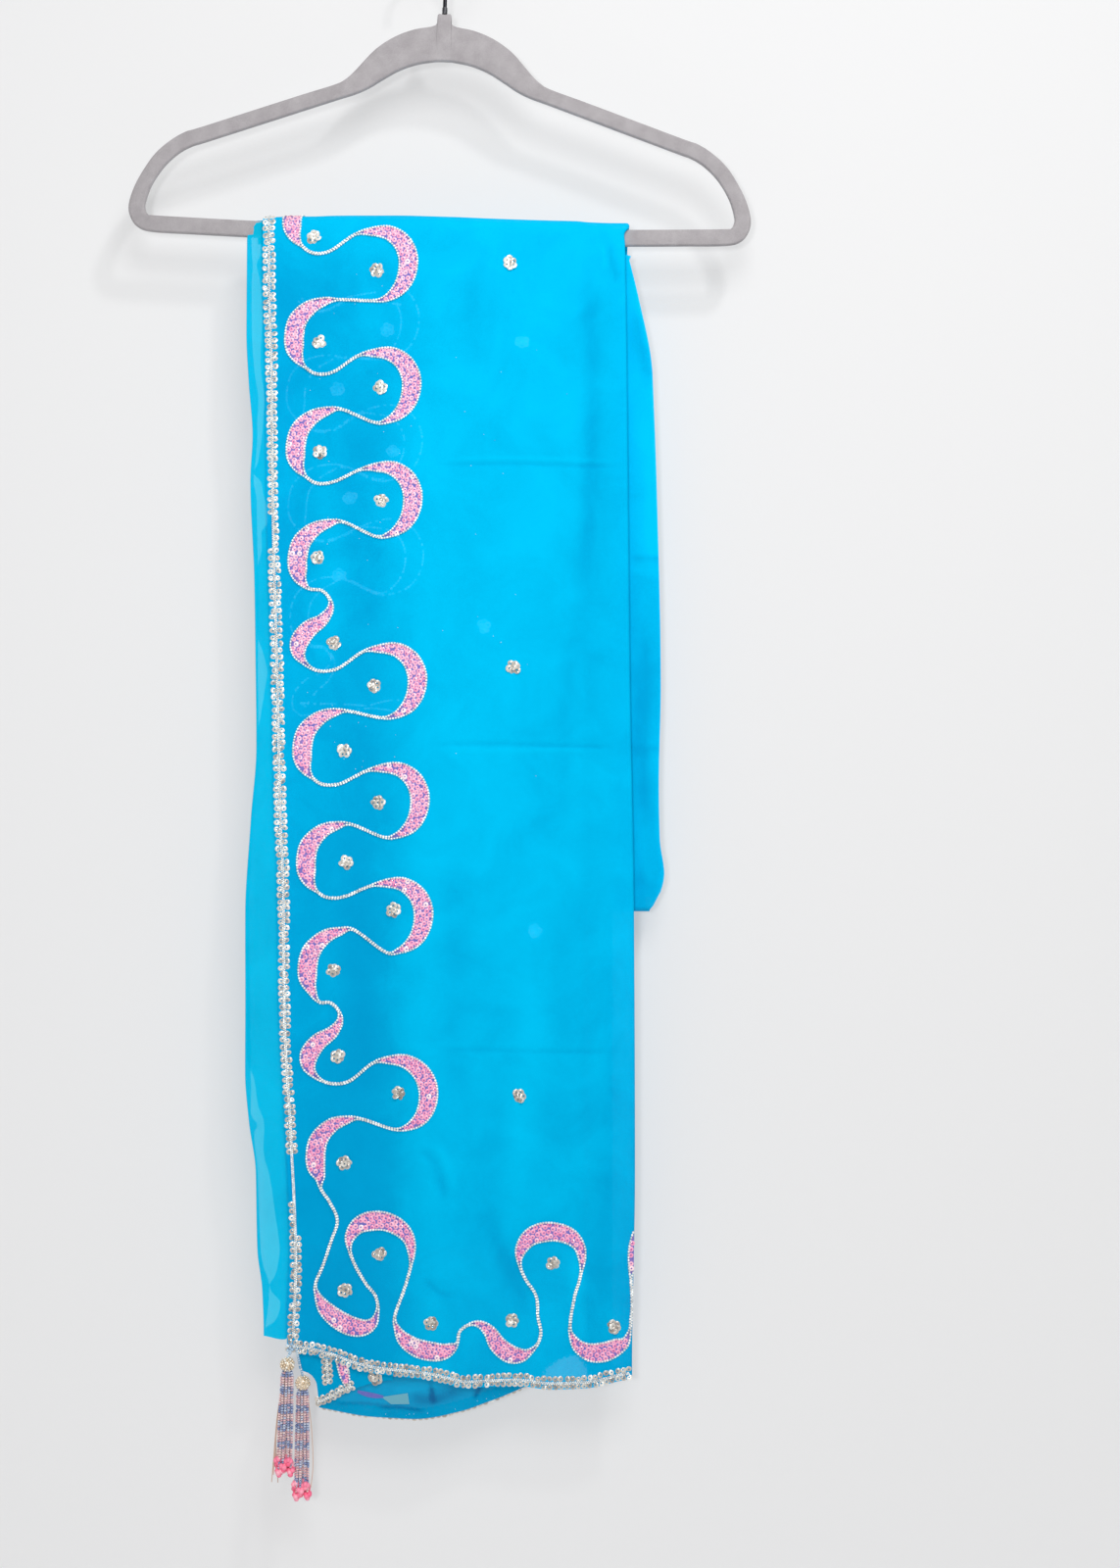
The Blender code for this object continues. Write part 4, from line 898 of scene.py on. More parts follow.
def chiffon(name, light, deep, cover, glow):
    """Fine crepe chiffon: a close plain weave, an uneven dye, a soft bloom, and painted shade and light
    of its folds from the tint attribute.
    """
    numbers = {"Roughness": 0.9, "Specular IOR Level": 0.02, "Alpha": cover}
    made, tree, shader, output = new_material(name, numbers)
    links = [(0, yarns(tree, "Z", 620), "Fac"), (1, yarns(tree, "X", 700), "Fac")]
    weave = node(tree, "ShaderNodeMath", links, operation="MULTIPLY")
    grain = added(tree, noise(tree, 1400, 3, 0.6), 0.55, weave)
    dyed = added(tree, noise(tree, 22, 5, 0.62, 0.6), 0.9, grain)
    # Painted shade and light of the folds, carried by the tint attribute.
    painted_fold_shade = node(tree, "ShaderNodeAttribute", attribute_name="tint")
    stops = ((0.2, linear(*deep)), (1, linear(*light)))
    colour = coloured(tree, shader, stops, added(tree, painted_fold_shade, 1, dyed), "Value")
    bump = bumped(tree, shader, 0.35, 0.00012, grain, "Value")
    links = [("Color", colour, "Color"), ("Normal", bump, "Normal")]
    through = node(tree, "ShaderNodeBsdfTranslucent", links)
    veil = blended(tree, node(tree, "ShaderNodeBsdfTransparent"), through, cover)
    whole = blended(tree, shader, veil, glow)
    tree.links.new(whole.outputs["Shader"], output.inputs["Surface"])
    return made


def flock():
    """Short grey flock: a fine nap that catches the light at the edges."""
    numbers = {"Roughness": 1, "Specular IOR Level": 0.1, "Sheen Weight": 0.35, "Sheen Roughness": 0.5}
    made, tree, shader, _ = new_material("grey_flock", numbers)
    nap = noise(tree, 2600, 2, 0.7)
    both = mixed(tree, nap, noise(tree, 90, 5, 0.6), 0.35)
    stops = ((0.3, linear(136, 131, 134)), (0.72, linear(184, 180, 182)))
    coloured(tree, shader, stops, both, "Result")
    bumped(tree, shader, 0.7, 0.00025, nap)
    return made


def metal(name, low, high, roughness):
    made, tree, shader, _ = new_material(name, {"Roughness": roughness, "Metallic": 0.85})
    marks = noise(tree, 700, 4)
    coloured(tree, shader, ((0.3, low), (0.75, high)), marks)
    bumped(tree, shader, 0.2, 0.0001, marks)
    return made


def tinted(name, roughness, metallic, specular, coat, *stops, glow=0):
    """A finish whose colour differs from one bead or sequin to the next. A stop: place, colour."""
    numbers = {
        "Roughness": roughness,
        "Metallic": metallic,
        "Specular IOR Level": specular,
        "Coat Weight": coat,
    }
    made, tree, shader, _ = new_material(name, numbers)
    tint = node(tree, "ShaderNodeAttribute", attribute_name="tint")
    both = mixed(tree, tint, noise(tree, 900, 2), 0.2)
    stops = [(place, linear(*colour)) for place, *colour in stops]
    colour = coloured(tree, shader, stops, both, "Result")
    # With glow, the colour also shines from the surface though it is no lamp: painted light.
    if glow > 0:
        tree.links.new(colour.outputs["Color"], shader.inputs["Emission Color"])
        shader.inputs["Emission Strength"].default_value = glow
    return made


CHIFFON = chiffon("turquoise_chiffon", (0, 206, 255), (0, 160, 216), 0.93, 0.12)
SHEER = chiffon("sheer_chiffon", (0, 208, 246), (0, 168, 214), 0.9, 0.25)
# The under half: denser chiffon, darker partly from the cloth layered behind it and partly as painted
# shade.
SHADED_UNDER = chiffon("under_chiffon", (0, 160, 210), (0, 92, 146), 0.985, 0.04)
PATCH = chiffon("pale_backing", (120, 186, 204), (92, 160, 180), 0.94, 0.1)
FLOCK = flock()
WIRE = metal("black_wire", (0.006, 0.006, 0.008), (0.03, 0.03, 0.035), 0.3)
SLEEVE = metal("grey_sleeve", (0.05, 0.05, 0.055), (0.12, 0.12, 0.13), 0.5)

# Beads and sequins. After the name: roughness, metallic, specular, coat, then the stops.
PINK = tinted(
    "pink_sequins", 0.3, 0, 0.6, 0.4,
    (0, 212, 106, 166), (0.3, 246, 148, 190), (0.6, 255, 190, 212), (0.86, 255, 216, 230),
    (1, 255, 250, 236),
)
# Violet-blue ground between the cords: the stitching under the sequins, with painted shade and a
# painted pink reflection of the sequins in its colour.
GROUND = tinted(
    "vine_ground", 0.8, 0, 0.5, 0, (0, 80, 98, 178), (0.5, 116, 106, 184), (1, 158, 122, 190)
)
SILVER = tinted(
    "silver_beads", 0.3, 0.1, 0.8, 0.5,
    (0, 168, 170, 170), (0.3, 220, 222, 220), (0.7, 248, 250, 246), (1, 255, 255, 252),
)
SPANGLE = tinted(
    "silver_sequins", 0.28, 0.15, 0.8, 0.5,
    (0, 104, 96, 92), (0.3, 160, 150, 140), (0.6, 206, 200, 190), (0.85, 236, 234, 226),
    (1, 255, 254, 248),
)
# The under half's beads glow so that they show through the front: painted light.
GLOWING_VEILED = tinted("glowing_veiled_beads", 0.4, 0, 0.5, 0, (0, 60, 206, 220), (1, 215, 250, 245), glow=0.5)
TASSEL_BEADS = tinted(
    "tassel_beads", 0.25, 0, 0.7, 0.4,
    (0, 82, 98, 148), (0.22, 140, 156, 198), (0.45, 214, 222, 236), (0.55, 204, 150, 162),
    (0.78, 232, 190, 190), (1, 250, 236, 228),
)
TASSEL_BUDS = tinted(
    "coral_buds", 0.4, 0, 0.5, 0, (0, 248, 92, 134), (0.6, 255, 138, 168), (1, 255, 190, 204)
)
TASSEL_GOLD = tinted(
    "pale_gold_beads", 0.22, 0.25, 0.8, 0.5,
    (0, 184, 156, 122), (0.4, 226, 204, 172), (0.8, 248, 238, 220), (1, 255, 255, 250),
)
THREAD = tinted("peach_thread", 0.8, 0, 0.5, 0, (0, 206, 176, 160), (1, 228, 204, 190))
LINK_BEADS = tinted("pale_blue_beads", 0.25, 0, 0.5, 0, (0, 130, 168, 200), (1, 214, 232, 242))


def even(count, start=0, end=1):
    return np.linspace(start, end, count + 1)


def fold_columns(right, radius, flap):
    """Columns round a fold and along the flap behind it: x and lift."""
    angles = np.radians(np.linspace(75, -90, 8))
    across = right - radius + radius * np.cos(angles)
    lift = -radius + radius * np.sin(angles)
    flap_x = np.linspace(right - radius, right - radius - flap, 7)[1:]
    return np.concatenate([across, flap_x]), np.concatenate([lift, np.full(6, -2 * radius)])


def outer_row(part):
    """One row of the outer sheet. Part runs from 1 at the hem to 0 at the crest, then to -1."""
    if part >= 0:
        foot = along_at(0, hem_border(0)) * part
        left = side_border(height_at(-125, foot)) - BORDER_HALF_WIDTH - CLOTH_PAST_BORDER
        crest = 1 - smooth(foot / 12)
        right = between(right_fold(height_at(129, foot)), CREST_RIGHT, crest)
        radius = FRONT_FOLD_RADIUS
    else:
        foot = (round_centre(0) - BACK_FOOT + 15) * part
        turned = smooth(-foot / 24)
        left = between(CREST_LEFT, back_left(height_at(-120, foot)), turned)
        right_z = np.minimum(height_at(140, foot), -236)
        right = between(CREST_RIGHT, bundle_right(right_z - 3) - 2.5, turned)
        radius = between(FRONT_FOLD_RADIUS, BACK_FOLD_RADIUS, turned)
    fold_x, fold_lift = fold_columns(right, radius, FLAP_WIDTH)
    x = np.concatenate([np.linspace(left, right - radius, OUTER_COLUMNS), fold_x])
    lift = np.concatenate([np.zeros(OUTER_COLUMNS), fold_lift])
    foot_z = hem_border(x) - BORDER_HALF_WIDTH - CLOTH_PAST_BORDER if part >= 0 else BACK_FOOT
    return surface(x, along_at(x, foot_z) * part, lift)


def outer_painted_shade(front, back):
    """Painted shade of the outer sheet: darker in its troughs and creases with painted light on their
    ridges, darker towards the hem and beside its trough at the right, and darker at its left.
    """
    x, _, z = np.concatenate(front).T
    drop = np.maximum(round_centre(x) - z, 0)
    # Painted shade in the troughs and creases, and painted light on their ridges.
    shade = 0.55 * creased(FRONT_CREASES, x, z) + 0.05 * ripple(x, drop)
    # Painted shade: darker towards the hem.
    shade = shade - 0.38 * smooth((drop - 380) / 520)
    # Darker at its left.
    shade = shade - 0.5 * smooth((0 - x) / 70) * smooth(drop / 30)
    # Painted shade beside the long trough at the right.
    shade = shade - 0.2 * smooth((x - 90) / 12) * smooth(drop / 150)
    # The back: painted shade in its creases and painted light on their ridges.
    x, _, z = np.concatenate(back).T
    return np.concatenate([shade, 0.5 * creased(BACK_CREASES, x, z)])


def build_outer():
    front = [outer_row(part) for part in 1 - even(520)]
    back = [outer_row(-part) for part in even(150)[1:]]
    tint = outer_painted_shade(front, back)
    return grid(
        "outer_sheet", front + back, CHIFFON, "chiffon", "pallu_front", "back_stretch", tint=tint
    )


def layer_rows(x0, parts, foot, columns, lift):
    """Rows of a layer behind the front, from its foot to the crest and on over it."""
    rows = []
    for part in parts:
        x = columns(between(round_centre(x0), foot(x0), part))
        along = along_at(x, foot(x)) * part
        rows.append(surface(x, along, lift(x, along)))
    x = columns(round_centre(x0))
    for way in even(8, 0, OVER_WAY)[1:]:
        along = np.full(len(x), way)
        rows.append(surface(x, along, lift(x, along)))
    return rows


def sheer_columns(z):
    """Columns of the sheer stretch, from the end of its turn-back round the fold and inwards."""
    edge = sheer_edge(z)
    turned = np.linspace(edge + sheer_turn(z), edge + 0.3, TURN_COLUMNS)
    return np.concatenate([turned, [edge], np.linspace(edge + 0.3, SHEER_RIGHT, 90)])


def inner_columns(z):
    return np.linspace(sheer_edge(z) + sheer_step(z), SHEER_RIGHT, 84)


def under_columns(z):
    return np.linspace(under_edge(z), UNDER_RIGHT, 120)


def sheer_lift(x, along):
    step = smooth((x + 118.7) / 10)
    drop = np.maximum(along - CREST_WAY, 0)
    free = smooth((-131 - x) / 4) * smooth(drop / 400)
    lift = between(SHEER_EDGE_LIFT, SHEER_INNER_LIFT, step)
    return lift + 0.5 * free * np.sin(math.tau * drop / 95)


def turned_lift(x, along):
    lift = sheer_lift(x, along)
    lift[:TURN_COLUMNS] -= 0.8
    lift[TURN_COLUMNS] -= 0.4
    return lift


def inner_lift(x, along):
    return sheer_lift(x, along) - 0.35


def under_lift(x, along):
    drop = np.maximum(along - CREST_WAY, 0)
    return UNDER_LIFT - UNDER_SPREAD * smooth((drop - UNDER_SPREAD_DROP) / 28)


def build_under(name, rows, paler, node_name):
    x, _, z = np.concatenate(rows).T
    # Painted shade along the under half's dark fold lines, and painted light where a crease rises.
    tint = paler + creased(UNDER_CREASES, x, z)
    return grid(name, rows, SHADED_UNDER, "under_chiffon", node_name, tint=tint)


def build_layers():
    rows = layer_rows(-120, 1 - even(260), sheer_foot, sheer_columns, turned_lift)
    sheer = grid("sheer_sheet", rows, SHEER, "sheer_chiffon", "left_stretch")
    rows = layer_rows(-120, 1 - even(420), sheer_foot, inner_columns, inner_lift)
    second = grid("second_sheer_sheet", rows, SHEER, "sheer_chiffon")
    parts = np.concatenate([np.linspace(1, 0.94, 61), np.linspace(0.94, 0, 190)[1:]])
    rows = layer_rows(-100, parts, under_foot, under_columns, under_lift)
    under = build_under("under_sheet", rows, 0, "pallu_under")
    rows = []
    for part in 1 - even(24):
        z = between(LEAF_TOP, leaf_foot(-90), part)
        x = np.linspace(under_edge(z), LEAF_RIGHT, 40)
        rows.append(front_at(x, between(LEAF_TOP, leaf_foot(x), part), LEAF_LIFT))
    return sheer, second, under, build_under("leaf_sheet", rows, 0.12, "under_leaf")


def bundle_depth(x, drop, share):
    """Depth behind the bar's middle, from 0 at the inner face to 1 at the outer."""
    thin = heap(x) - FRONT_WALL - 3.15
    full = back_reach(x, drop) - HANGER_HALF_THICK - FRONT_WALL - 0.55
    outer = between(thin, full, smooth((drop - 8.5) / 7))
    inner = 0.35
    return HANGER_HALF_THICK + between(inner, np.maximum(outer, inner), share)


def bundle_row(drop, share):
    """One row of the bundle's wrap at a drop, which the foot's level end draws in."""
    z0 = round_centre(100) - drop
    x = np.linspace(bundle_left(z0), bundle_right(z0), BUNDLE_COLUMNS)
    seat = round_centre(x)
    foot = BUNDLE_DROP
    z = seat - drop * between(1, (seat - BUNDLE_FOOT) / foot, drop / foot)
    depth = bundle_depth(x, drop, share) + creased(BUNDLE_CREASES, x, z) * (1 - share)
    return np.stack([x, depth, z], axis=-1)


def folds_row(drop):
    """One row of the folds inside the wrap, which runs to and fro from layer to layer."""
    z0 = round_centre(100) - drop
    x_parts = []
    share_parts = []
    half = 0.38 / (BUNDLE_LAYERS - 1)
    angles = np.radians((60, 20, -20, -60))
    for layer in range(BUNDLE_LAYERS):
        share = 0.12 + 0.76 * layer / (BUNDLE_LAYERS - 1)
        wander = 1 + 0.8 * math.sin(layer * 2.4 + drop / 60)
        start, end, way = bundle_left(z0) + 1.2 + wander, bundle_right(z0) - 1.2 - wander, 1
        if layer % 2:
            start, end, way = end, start, -1
        x_parts.append(np.linspace(start, end, 20))
        share_parts.append(np.full(20, share))
        if layer < BUNDLE_LAYERS - 1:
            x_parts.append(end + way * 0.9 * np.cos(angles))
            share_parts.append(share + half - half * np.sin(angles))
    x = np.concatenate(x_parts)
    depth = bundle_depth(x, drop, np.concatenate(share_parts))
    return np.stack([x, depth, round_centre(x) - drop], axis=-1)


def build_bundle():
    """The cloth folded away behind: an outer turn round the foot, and folds inside it."""
    x = np.linspace(bundle_left(-218), bundle_right(-218), BUNDLE_COLUMNS)
    over = [(-BUNDLE_SEAT, -way) for way in (14, 9, 4)]
    for angle in np.radians(np.linspace(-90, 90, 9)):
        over.append((BUNDLE_SEAT * np.sin(angle), BUNDLE_SEAT * np.cos(angle)))
    rows = [np.stack([x, 0 * x + y, round_centre(x) + rise], axis=-1) for y, rise in over]
    drops = np.concatenate([np.arange(3, 19, 3), np.linspace(22, 470, 110)])
    rows += [bundle_row(drop, 0) for drop in drops]
    for turn in np.radians(np.linspace(-80, 80, 9)):
        rows.append(bundle_row(BUNDLE_DROP - 5 + 5 * math.cos(turn), 0.5 + 0.5 * math.sin(turn)))
    rows += [bundle_row(drop, 1) for drop in drops[::-1][:-2]]
    x, _, z = np.concatenate(rows).T
    # Painted shade in the bundle's creases and painted light on their ridges, and painted shade darker
    # towards its foot.
    tint = 0.5 * creased(BUNDLE_CREASES, x, z) - 0.32 * smooth((-z - 230) / 450)
    wrap = grid("bundle_wrap", rows, CHIFFON, "chiffon", "back_bundle", tint=tint)
    drops = np.concatenate([[16, 20], np.linspace(26, 474, 90)])
    return wrap, grid("bundle_folds", [folds_row(drop) for drop in drops], CHIFFON, "chiffon")


def ground_piece(name, fine, edges, lift, tones):
    """Strips between the cords of each crescent."""
    rows = np.stack([edges[0], (edges[0] + edges[1]) / 2, edges[1]], axis=1)
    points = []
    faces = []
    for piece in runs_of(fine[:, 2] > GROUND_HALF_WIDTH):
        start = len(points)
        block = rows[piece]
        points.extend(surface(block[..., 0], block[..., 1], lift).reshape(-1, 3))
        for i in range(len(piece) - 1):
            for k in range(2):
                a = start + i * 3 + k
                faces.append((a, a + 1, a + 4, a + 3))
    tint = DRAW.uniform(0, tones, len(points))
    return dressed(make_mesh(name, points, faces, GROUND, tint), "pink_sequins")


def inside_fold(line, reach=0):
    """Whether points lie at the back or on the flat of the front, short of its folded edge."""
    x, along = line[:, 0] + reach, line[:, 1]
    return (x < right_fold(height_at(x, along)) - 0.5) | (along < 0)


def vine_edges(line):
    """The two lines that the cords of a stretch of the vine follow."""
    reach = np.maximum(0.5, line[:, 2] - VINE_CORD_INSET)
    return [offset_path(line, reach), offset_path(line, -reach)]


def embroider(name, line, lift, *nodes):
    """A stretch of the vine: sequins, the cords at their edges and the ground between."""
    fine = resample(line, 0.9)
    spots = crescent_fill(resample(line, 0.5))
    x, along = spots[inside_fold(spots, 0.9)].T
    height = height_at(x, along)
    # The sequins are paler higher up.
    paler_above = 0.16 * smooth((height + 900) / 500)
    tint = np.clip(DRAW.normal(0.42, 0.09, len(x)) + paler_above, 0, 0.84)
    # A few sequins, and those at the glint spot, get the palest colour and a larger size: painted
    # glints.
    glinting = DRAW.uniform(0, 1, len(x)) < 0.03
    glinting |= np.hypot(x - GLINT[0], height - GLINT[1]) < 4
    tint[glinting] = 1.2
    radii = np.where(glinting, GLINT_RADIUS, VINE_SEQUIN_RADIUS)
    places = sequin_places(x, along, radii, lift + 0.55, tint, 0.1)
    pink = scattered(f"{name}_sequins", SEQUIN, places, PINK, "pink_sequins", *nodes)
    edges = vine_edges(fine)
    cords = cord_pair([edge[inside_fold(edge)] for edge in edges], VINE_CORD, lift + 0.8)
    cord = scattered(f"{name}_cord", BEAD, cords, SILVER, "silver_trim")
    flat = [np.minimum(edge, (GROUND_RIGHT, np.inf)) for edge in edges]
    return [pink, cord, ground_piece(f"{name}_ground", fine, flat, lift + 0.15, 1)]


def build_vine(path):
    along = path[:, 1]
    back = path[(along < BACK_VINE_START) & (along > BACK_VINE_END)]
    made = embroider("vine_front", path[along >= BACK_VINE_START], 0, "vine_front")
    return made + embroider("vine_back", back, 0, "vine_back")


def build_ghosts(path):
    """The under half's own vine and spangles, which show faintly through the front by their painted
    glow.
    """
    line = path[(path[:, 1] > GHOST_REACH[0]) & (path[:, 1] < GHOST_REACH[1])]
    edges = vine_edges(line + GHOST_SHIFT)
    cords = cord_pair(edges, GHOST_CORD, -1.2, 0)
    shown = DRAW.uniform(0, 1, len(cords[0])) < 0.8
    cords = tuple(part[shown] for part in cords)
    cord = scattered("under_vine_cord", BEAD, cords, GLOWING_VEILED, "silver_trim")
    x, z = np.array(GHOST_SPANGLES).T
    places = flower_places(x, along_at(x, z), -2.2, 0.5)
    flowers = scattered("under_spangles", SEQUIN, places, GLOWING_VEILED, "spangles")
    x = DRAW.uniform(-106, -30, LOOSE_COUNT)
    x[LOOSE_AT_LEFT:] = DRAW.uniform(-30, 90, LOOSE_COUNT - LOOSE_AT_LEFT)
    along = DRAW.uniform(20, 420, LOOSE_COUNT)
    radii = DRAW.uniform(0.16, 0.34, LOOSE_COUNT)
    places = sequin_places(x, along, radii, 0.25, np.ones(LOOSE_COUNT), 0.5)
    return [cord, flowers], scattered("loose_beads", BALL, places, LINK_BEADS, "spangles")


def border_row(line, sides, pitch, lift, gaps):
    """Sequins beside the middle of a border. The line: x, way down; sides: how far off it."""
    moved = resample(offset_path(line, sides), pitch)
    for low, high in gaps:
        moved = moved[(moved[:, 1] < low) | (moved[:, 1] > high)]
    x, along = (moved + DRAW.normal(0, 0.13, moved.shape)).T
    # Painted reflection: the sequins are paler higher up and darker lower down.
    reflection_dimming = 0.24 * smooth((along - 250) / 550)
    tint = np.clip(DRAW.normal(0.8, 0.12, len(x)) - reflection_dimming, 0, 0.92)
    # A few sequins get the palest colour: painted glints.
    tint[DRAW.uniform(0, 1, len(x)) < 0.07] = 1.1
    return sequin_places(x, along, BORDER_SEQUIN_RADIUS, lift, tint, 0.2)


def border_pieces(name, line, reach, pitch, lift=0, gaps=((), ()), nodes=()):
    """A border of two rows of sequins and two cords. Reach: how far the rows are off its middle."""
    fine = resample(line, 0.8)
    off = reach(fine[:, 1]) if callable(reach) else reach
    sequins = join_places(
        border_row(fine, off, pitch, lift + 0.5, gaps[0]),
        border_row(fine, -off, pitch, lift + 0.5, gaps[1]),
    )
    rows = scattered(f"{name}_sequins", SEQUIN, sequins, SPANGLE, "silver_trim", *nodes)
    edges = [offset_path(fine, 0.5), offset_path(fine, -0.5)]
    cords = cord_pair(edges, BORDER_CORD, lift + 1.05)
    return [rows, scattered(f"{name}_cord", BEAD, cords, SILVER, "silver_trim")]


def build_borders():
    ways = np.arange(-16, along_at(-108, -1003), 2)
    x = np.array([border_x(max(0, way)) for way in ways])
    line = np.stack([x, ways], axis=1)
    pieces = border_pieces(
        "side_border", line, side_reach, 4.7, gaps=SIDE_GAPS, nodes=["side_border"]
    )
    ways = np.arange(-22, BACK_FOOT + 208, -2)
    x = back_left(height_at(-115, ways)) + BORDER_HALF_WIDTH + CLOTH_PAST_BORDER
    line = np.stack([x, ways], axis=1)
    pieces += border_pieces("back_border", line, 2.3, 4.7, nodes=["back_border"])
    x = np.arange(-112, 131, 2)
    line = line_at(x, hem_border(x))
    return pieces + border_pieces("hem_border", line, 2.8, 4.1, nodes=["hem_border"])


def build_under_trim():
    """What shows of the embroidery on the hanging under half and its near leaf."""
    on_leaf = LEAF_LIFT + 0.1
    x = np.linspace(-91.5, -67.5, 14)
    line = line_at(x, leaf_foot(x) + 2.6)
    leaf_trim = border_pieces("leaf_border", line, 1.7, 3.6, on_leaf, nodes=["leaf_border"])
    leaf_trim += border_pieces("leaf_column", line_at(*np.array(LEAF_COLUMN).T), 1.9, 4, on_leaf)
    leaf_trim += embroider("leaf_crescent", spline(on_cloth(LEAF_CRESCENT), 12), on_leaf)
    places = flower_places(*np.array(on_cloth([LEAF_SPANGLE])).T, on_leaf, 0.8)
    leaf_trim.append(scattered("leaf_spangle", SEQUIN, places, SPANGLE, "spangles"))

    behind = UNDER_LIFT - UNDER_SPREAD
    x = np.linspace(-87, 127, 160)
    line = line_at(x, under_foot(x) + 3)
    under_trim = border_pieces("under_border", line, 2.5, 4.4, behind - 1.6, nodes=["under_border"])
    fine = resample(spline(on_cloth(UNDER_BAND), 10), 0.8)
    edges = [offset_path(fine, fine[:, 2]), offset_path(fine, -fine[:, 2])]
    fine[:, 2] = 3
    under_trim.append(ground_piece("under_band", fine, edges, behind + 0.4, 0.3))
    a, b, c, d = (np.array(corner) for corner in UNDER_PATCH)
    rows = []
    for down in even(8):
        across = [between(between(a, c, down), between(b, d, down), part) for part in even(12)]
        rows.append(front_at(*np.array(across).T, behind + 0.35))
    return leaf_trim, under_trim, grid("backing_patch", rows, PATCH, "under_chiffon")


def spangle_places():
    places = [(border_x(place) + away, place + along) for _, place, along, away in side_turns()]
    hem = [(centre + along, away) for _, centre, _, along, away in HEM_TURNS]
    places += on_cloth((x, hem_border(x) + away) for x, away in hem)
    places += on_cloth(FIELD_SPANGLES)
    for name, centre in map(back_turn, range(1, BACK_TURN_COUNT)):
        centre += BACK_SPANGLE_ALONG
        places.append((border_x(centre) + BACK_SPANGLE_AWAY[name], centre))
    return places


def flower_places(x, along, lift, bright):
    """Round spangles, each of six sequins about a middle one."""
    spots = []
    for cx, cy in zip(x, along):
        start = DRAW.uniform(0, math.tau)
        for k in range(6):
            angle = start + math.tau * k / 6 + DRAW.normal(0, 0.12)
            ring = SPANGLE_RING + DRAW.normal(0, 0.2)
            spots.append((cx + ring * math.cos(angle), cy + ring * math.sin(angle), 0.6 + 0.12 * k, cy))
        spots.append((cx + DRAW.normal(0, 0.3), cy + DRAW.normal(0, 0.3), 1.15, cy))
    x, along, rise, middle = np.array(spots).T
    # Painted reflection: spangles further from the crest are darker.
    reflection_dimming = 0.3 * smooth((np.abs(middle) - 150) / 600)
    tint = np.clip(DRAW.normal(bright, 0.2, len(x)) - reflection_dimming, 0, 1.1)
    return sequin_places(x, along, SPANGLE_SEQUIN_RADIUS, lift + rise, tint, 0.25)


def build_spangles():
    names = sorted(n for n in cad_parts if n.startswith("spangle_"))
    x, along = np.array(spangle_places()).T
    made = []
    for side, wanted in (("front", along > 0), ("back", along <= 0)):
        places = flower_places(x[wanted], along[wanted], 0.1, 0.78)
        nodes = [name for name, there in zip(names, wanted) if there]
        made.append(scattered(f"spangles_{side}", SEQUIN, places, SPANGLE, "spangles", *nodes))
    return made


def strung(route, beads, tint):
    """Places for beads along a line in space. Tint gives each bead's from its way along."""
    pitch, radius, length = beads
    points = resample(route, pitch)
    ahead = unit(np.gradient(points, axis=0))
    out = unit(np.cross(ahead, (0, 1, 0)))
    count = len(points)
    size = np.array((length, radius, radius)) * DRAW.uniform(0.92, 1.08, (count, 1))
    return points, ahead, out, size, tint(np.arange(count) * pitch)


def any_tint(way):
    return DRAW.uniform(0, 1, len(way))


def loose(points, radii, tint):
    """Places for round beads that are turned at random."""
    count = len(points)
    ahead = unit(DRAW.normal(0, 1, (count, 3)))
    out = unit(np.cross(ahead, unit(DRAW.normal(0, 1, (count, 3)))))
    size = np.repeat((radii * DRAW.uniform(0.9, 1.1, count))[:, None], 3, axis=1)
    return np.array(points), ahead, out, size, tint


def banded(way):
    """Tints of a strand's beads: bands of blue-grey and of rose."""
    rose = (way + 2) // STRAND_BAND % 2
    return np.clip(between(0.2, 0.78, rose) + DRAW.normal(0, 0.19, len(way)), 0, 1)


def strand_route(index, sizes):
    """Way of one strand of a tassel, from inside its head to its buds. The last is the middle one."""
    x, y, z, radius, lean, length, bud_ring = sizes
    middle = index == STRANDS - 1
    turn = math.tau * index / (STRANDS - 1) + 0.26
    stagger = BUD_STAGGER * (0.25 if middle else (index % 3) / 2)
    foot = z - radius - length + stagger + BUD_LENGTH
    route = []
    for part in (0, 0.06, 0.12, 0.25, 0.4, 0.6, 0.8, 1):
        spread = 0 if middle else between(STRAND_RING, bud_ring, smooth(part * 1.3 - 0.1))
        spread = spread * smooth(0.6 + part * 6)
        sway = 0.5 * math.sin(part * 5 + index * 1.9)
        place_x = x + lean * part + spread * math.cos(turn) + sway * part
        place_y = y + STRAND_RING_DEPTH * spread * math.sin(turn)
        route.append((place_x, place_y, between(z - radius * 0.75, foot, part)))
    return route


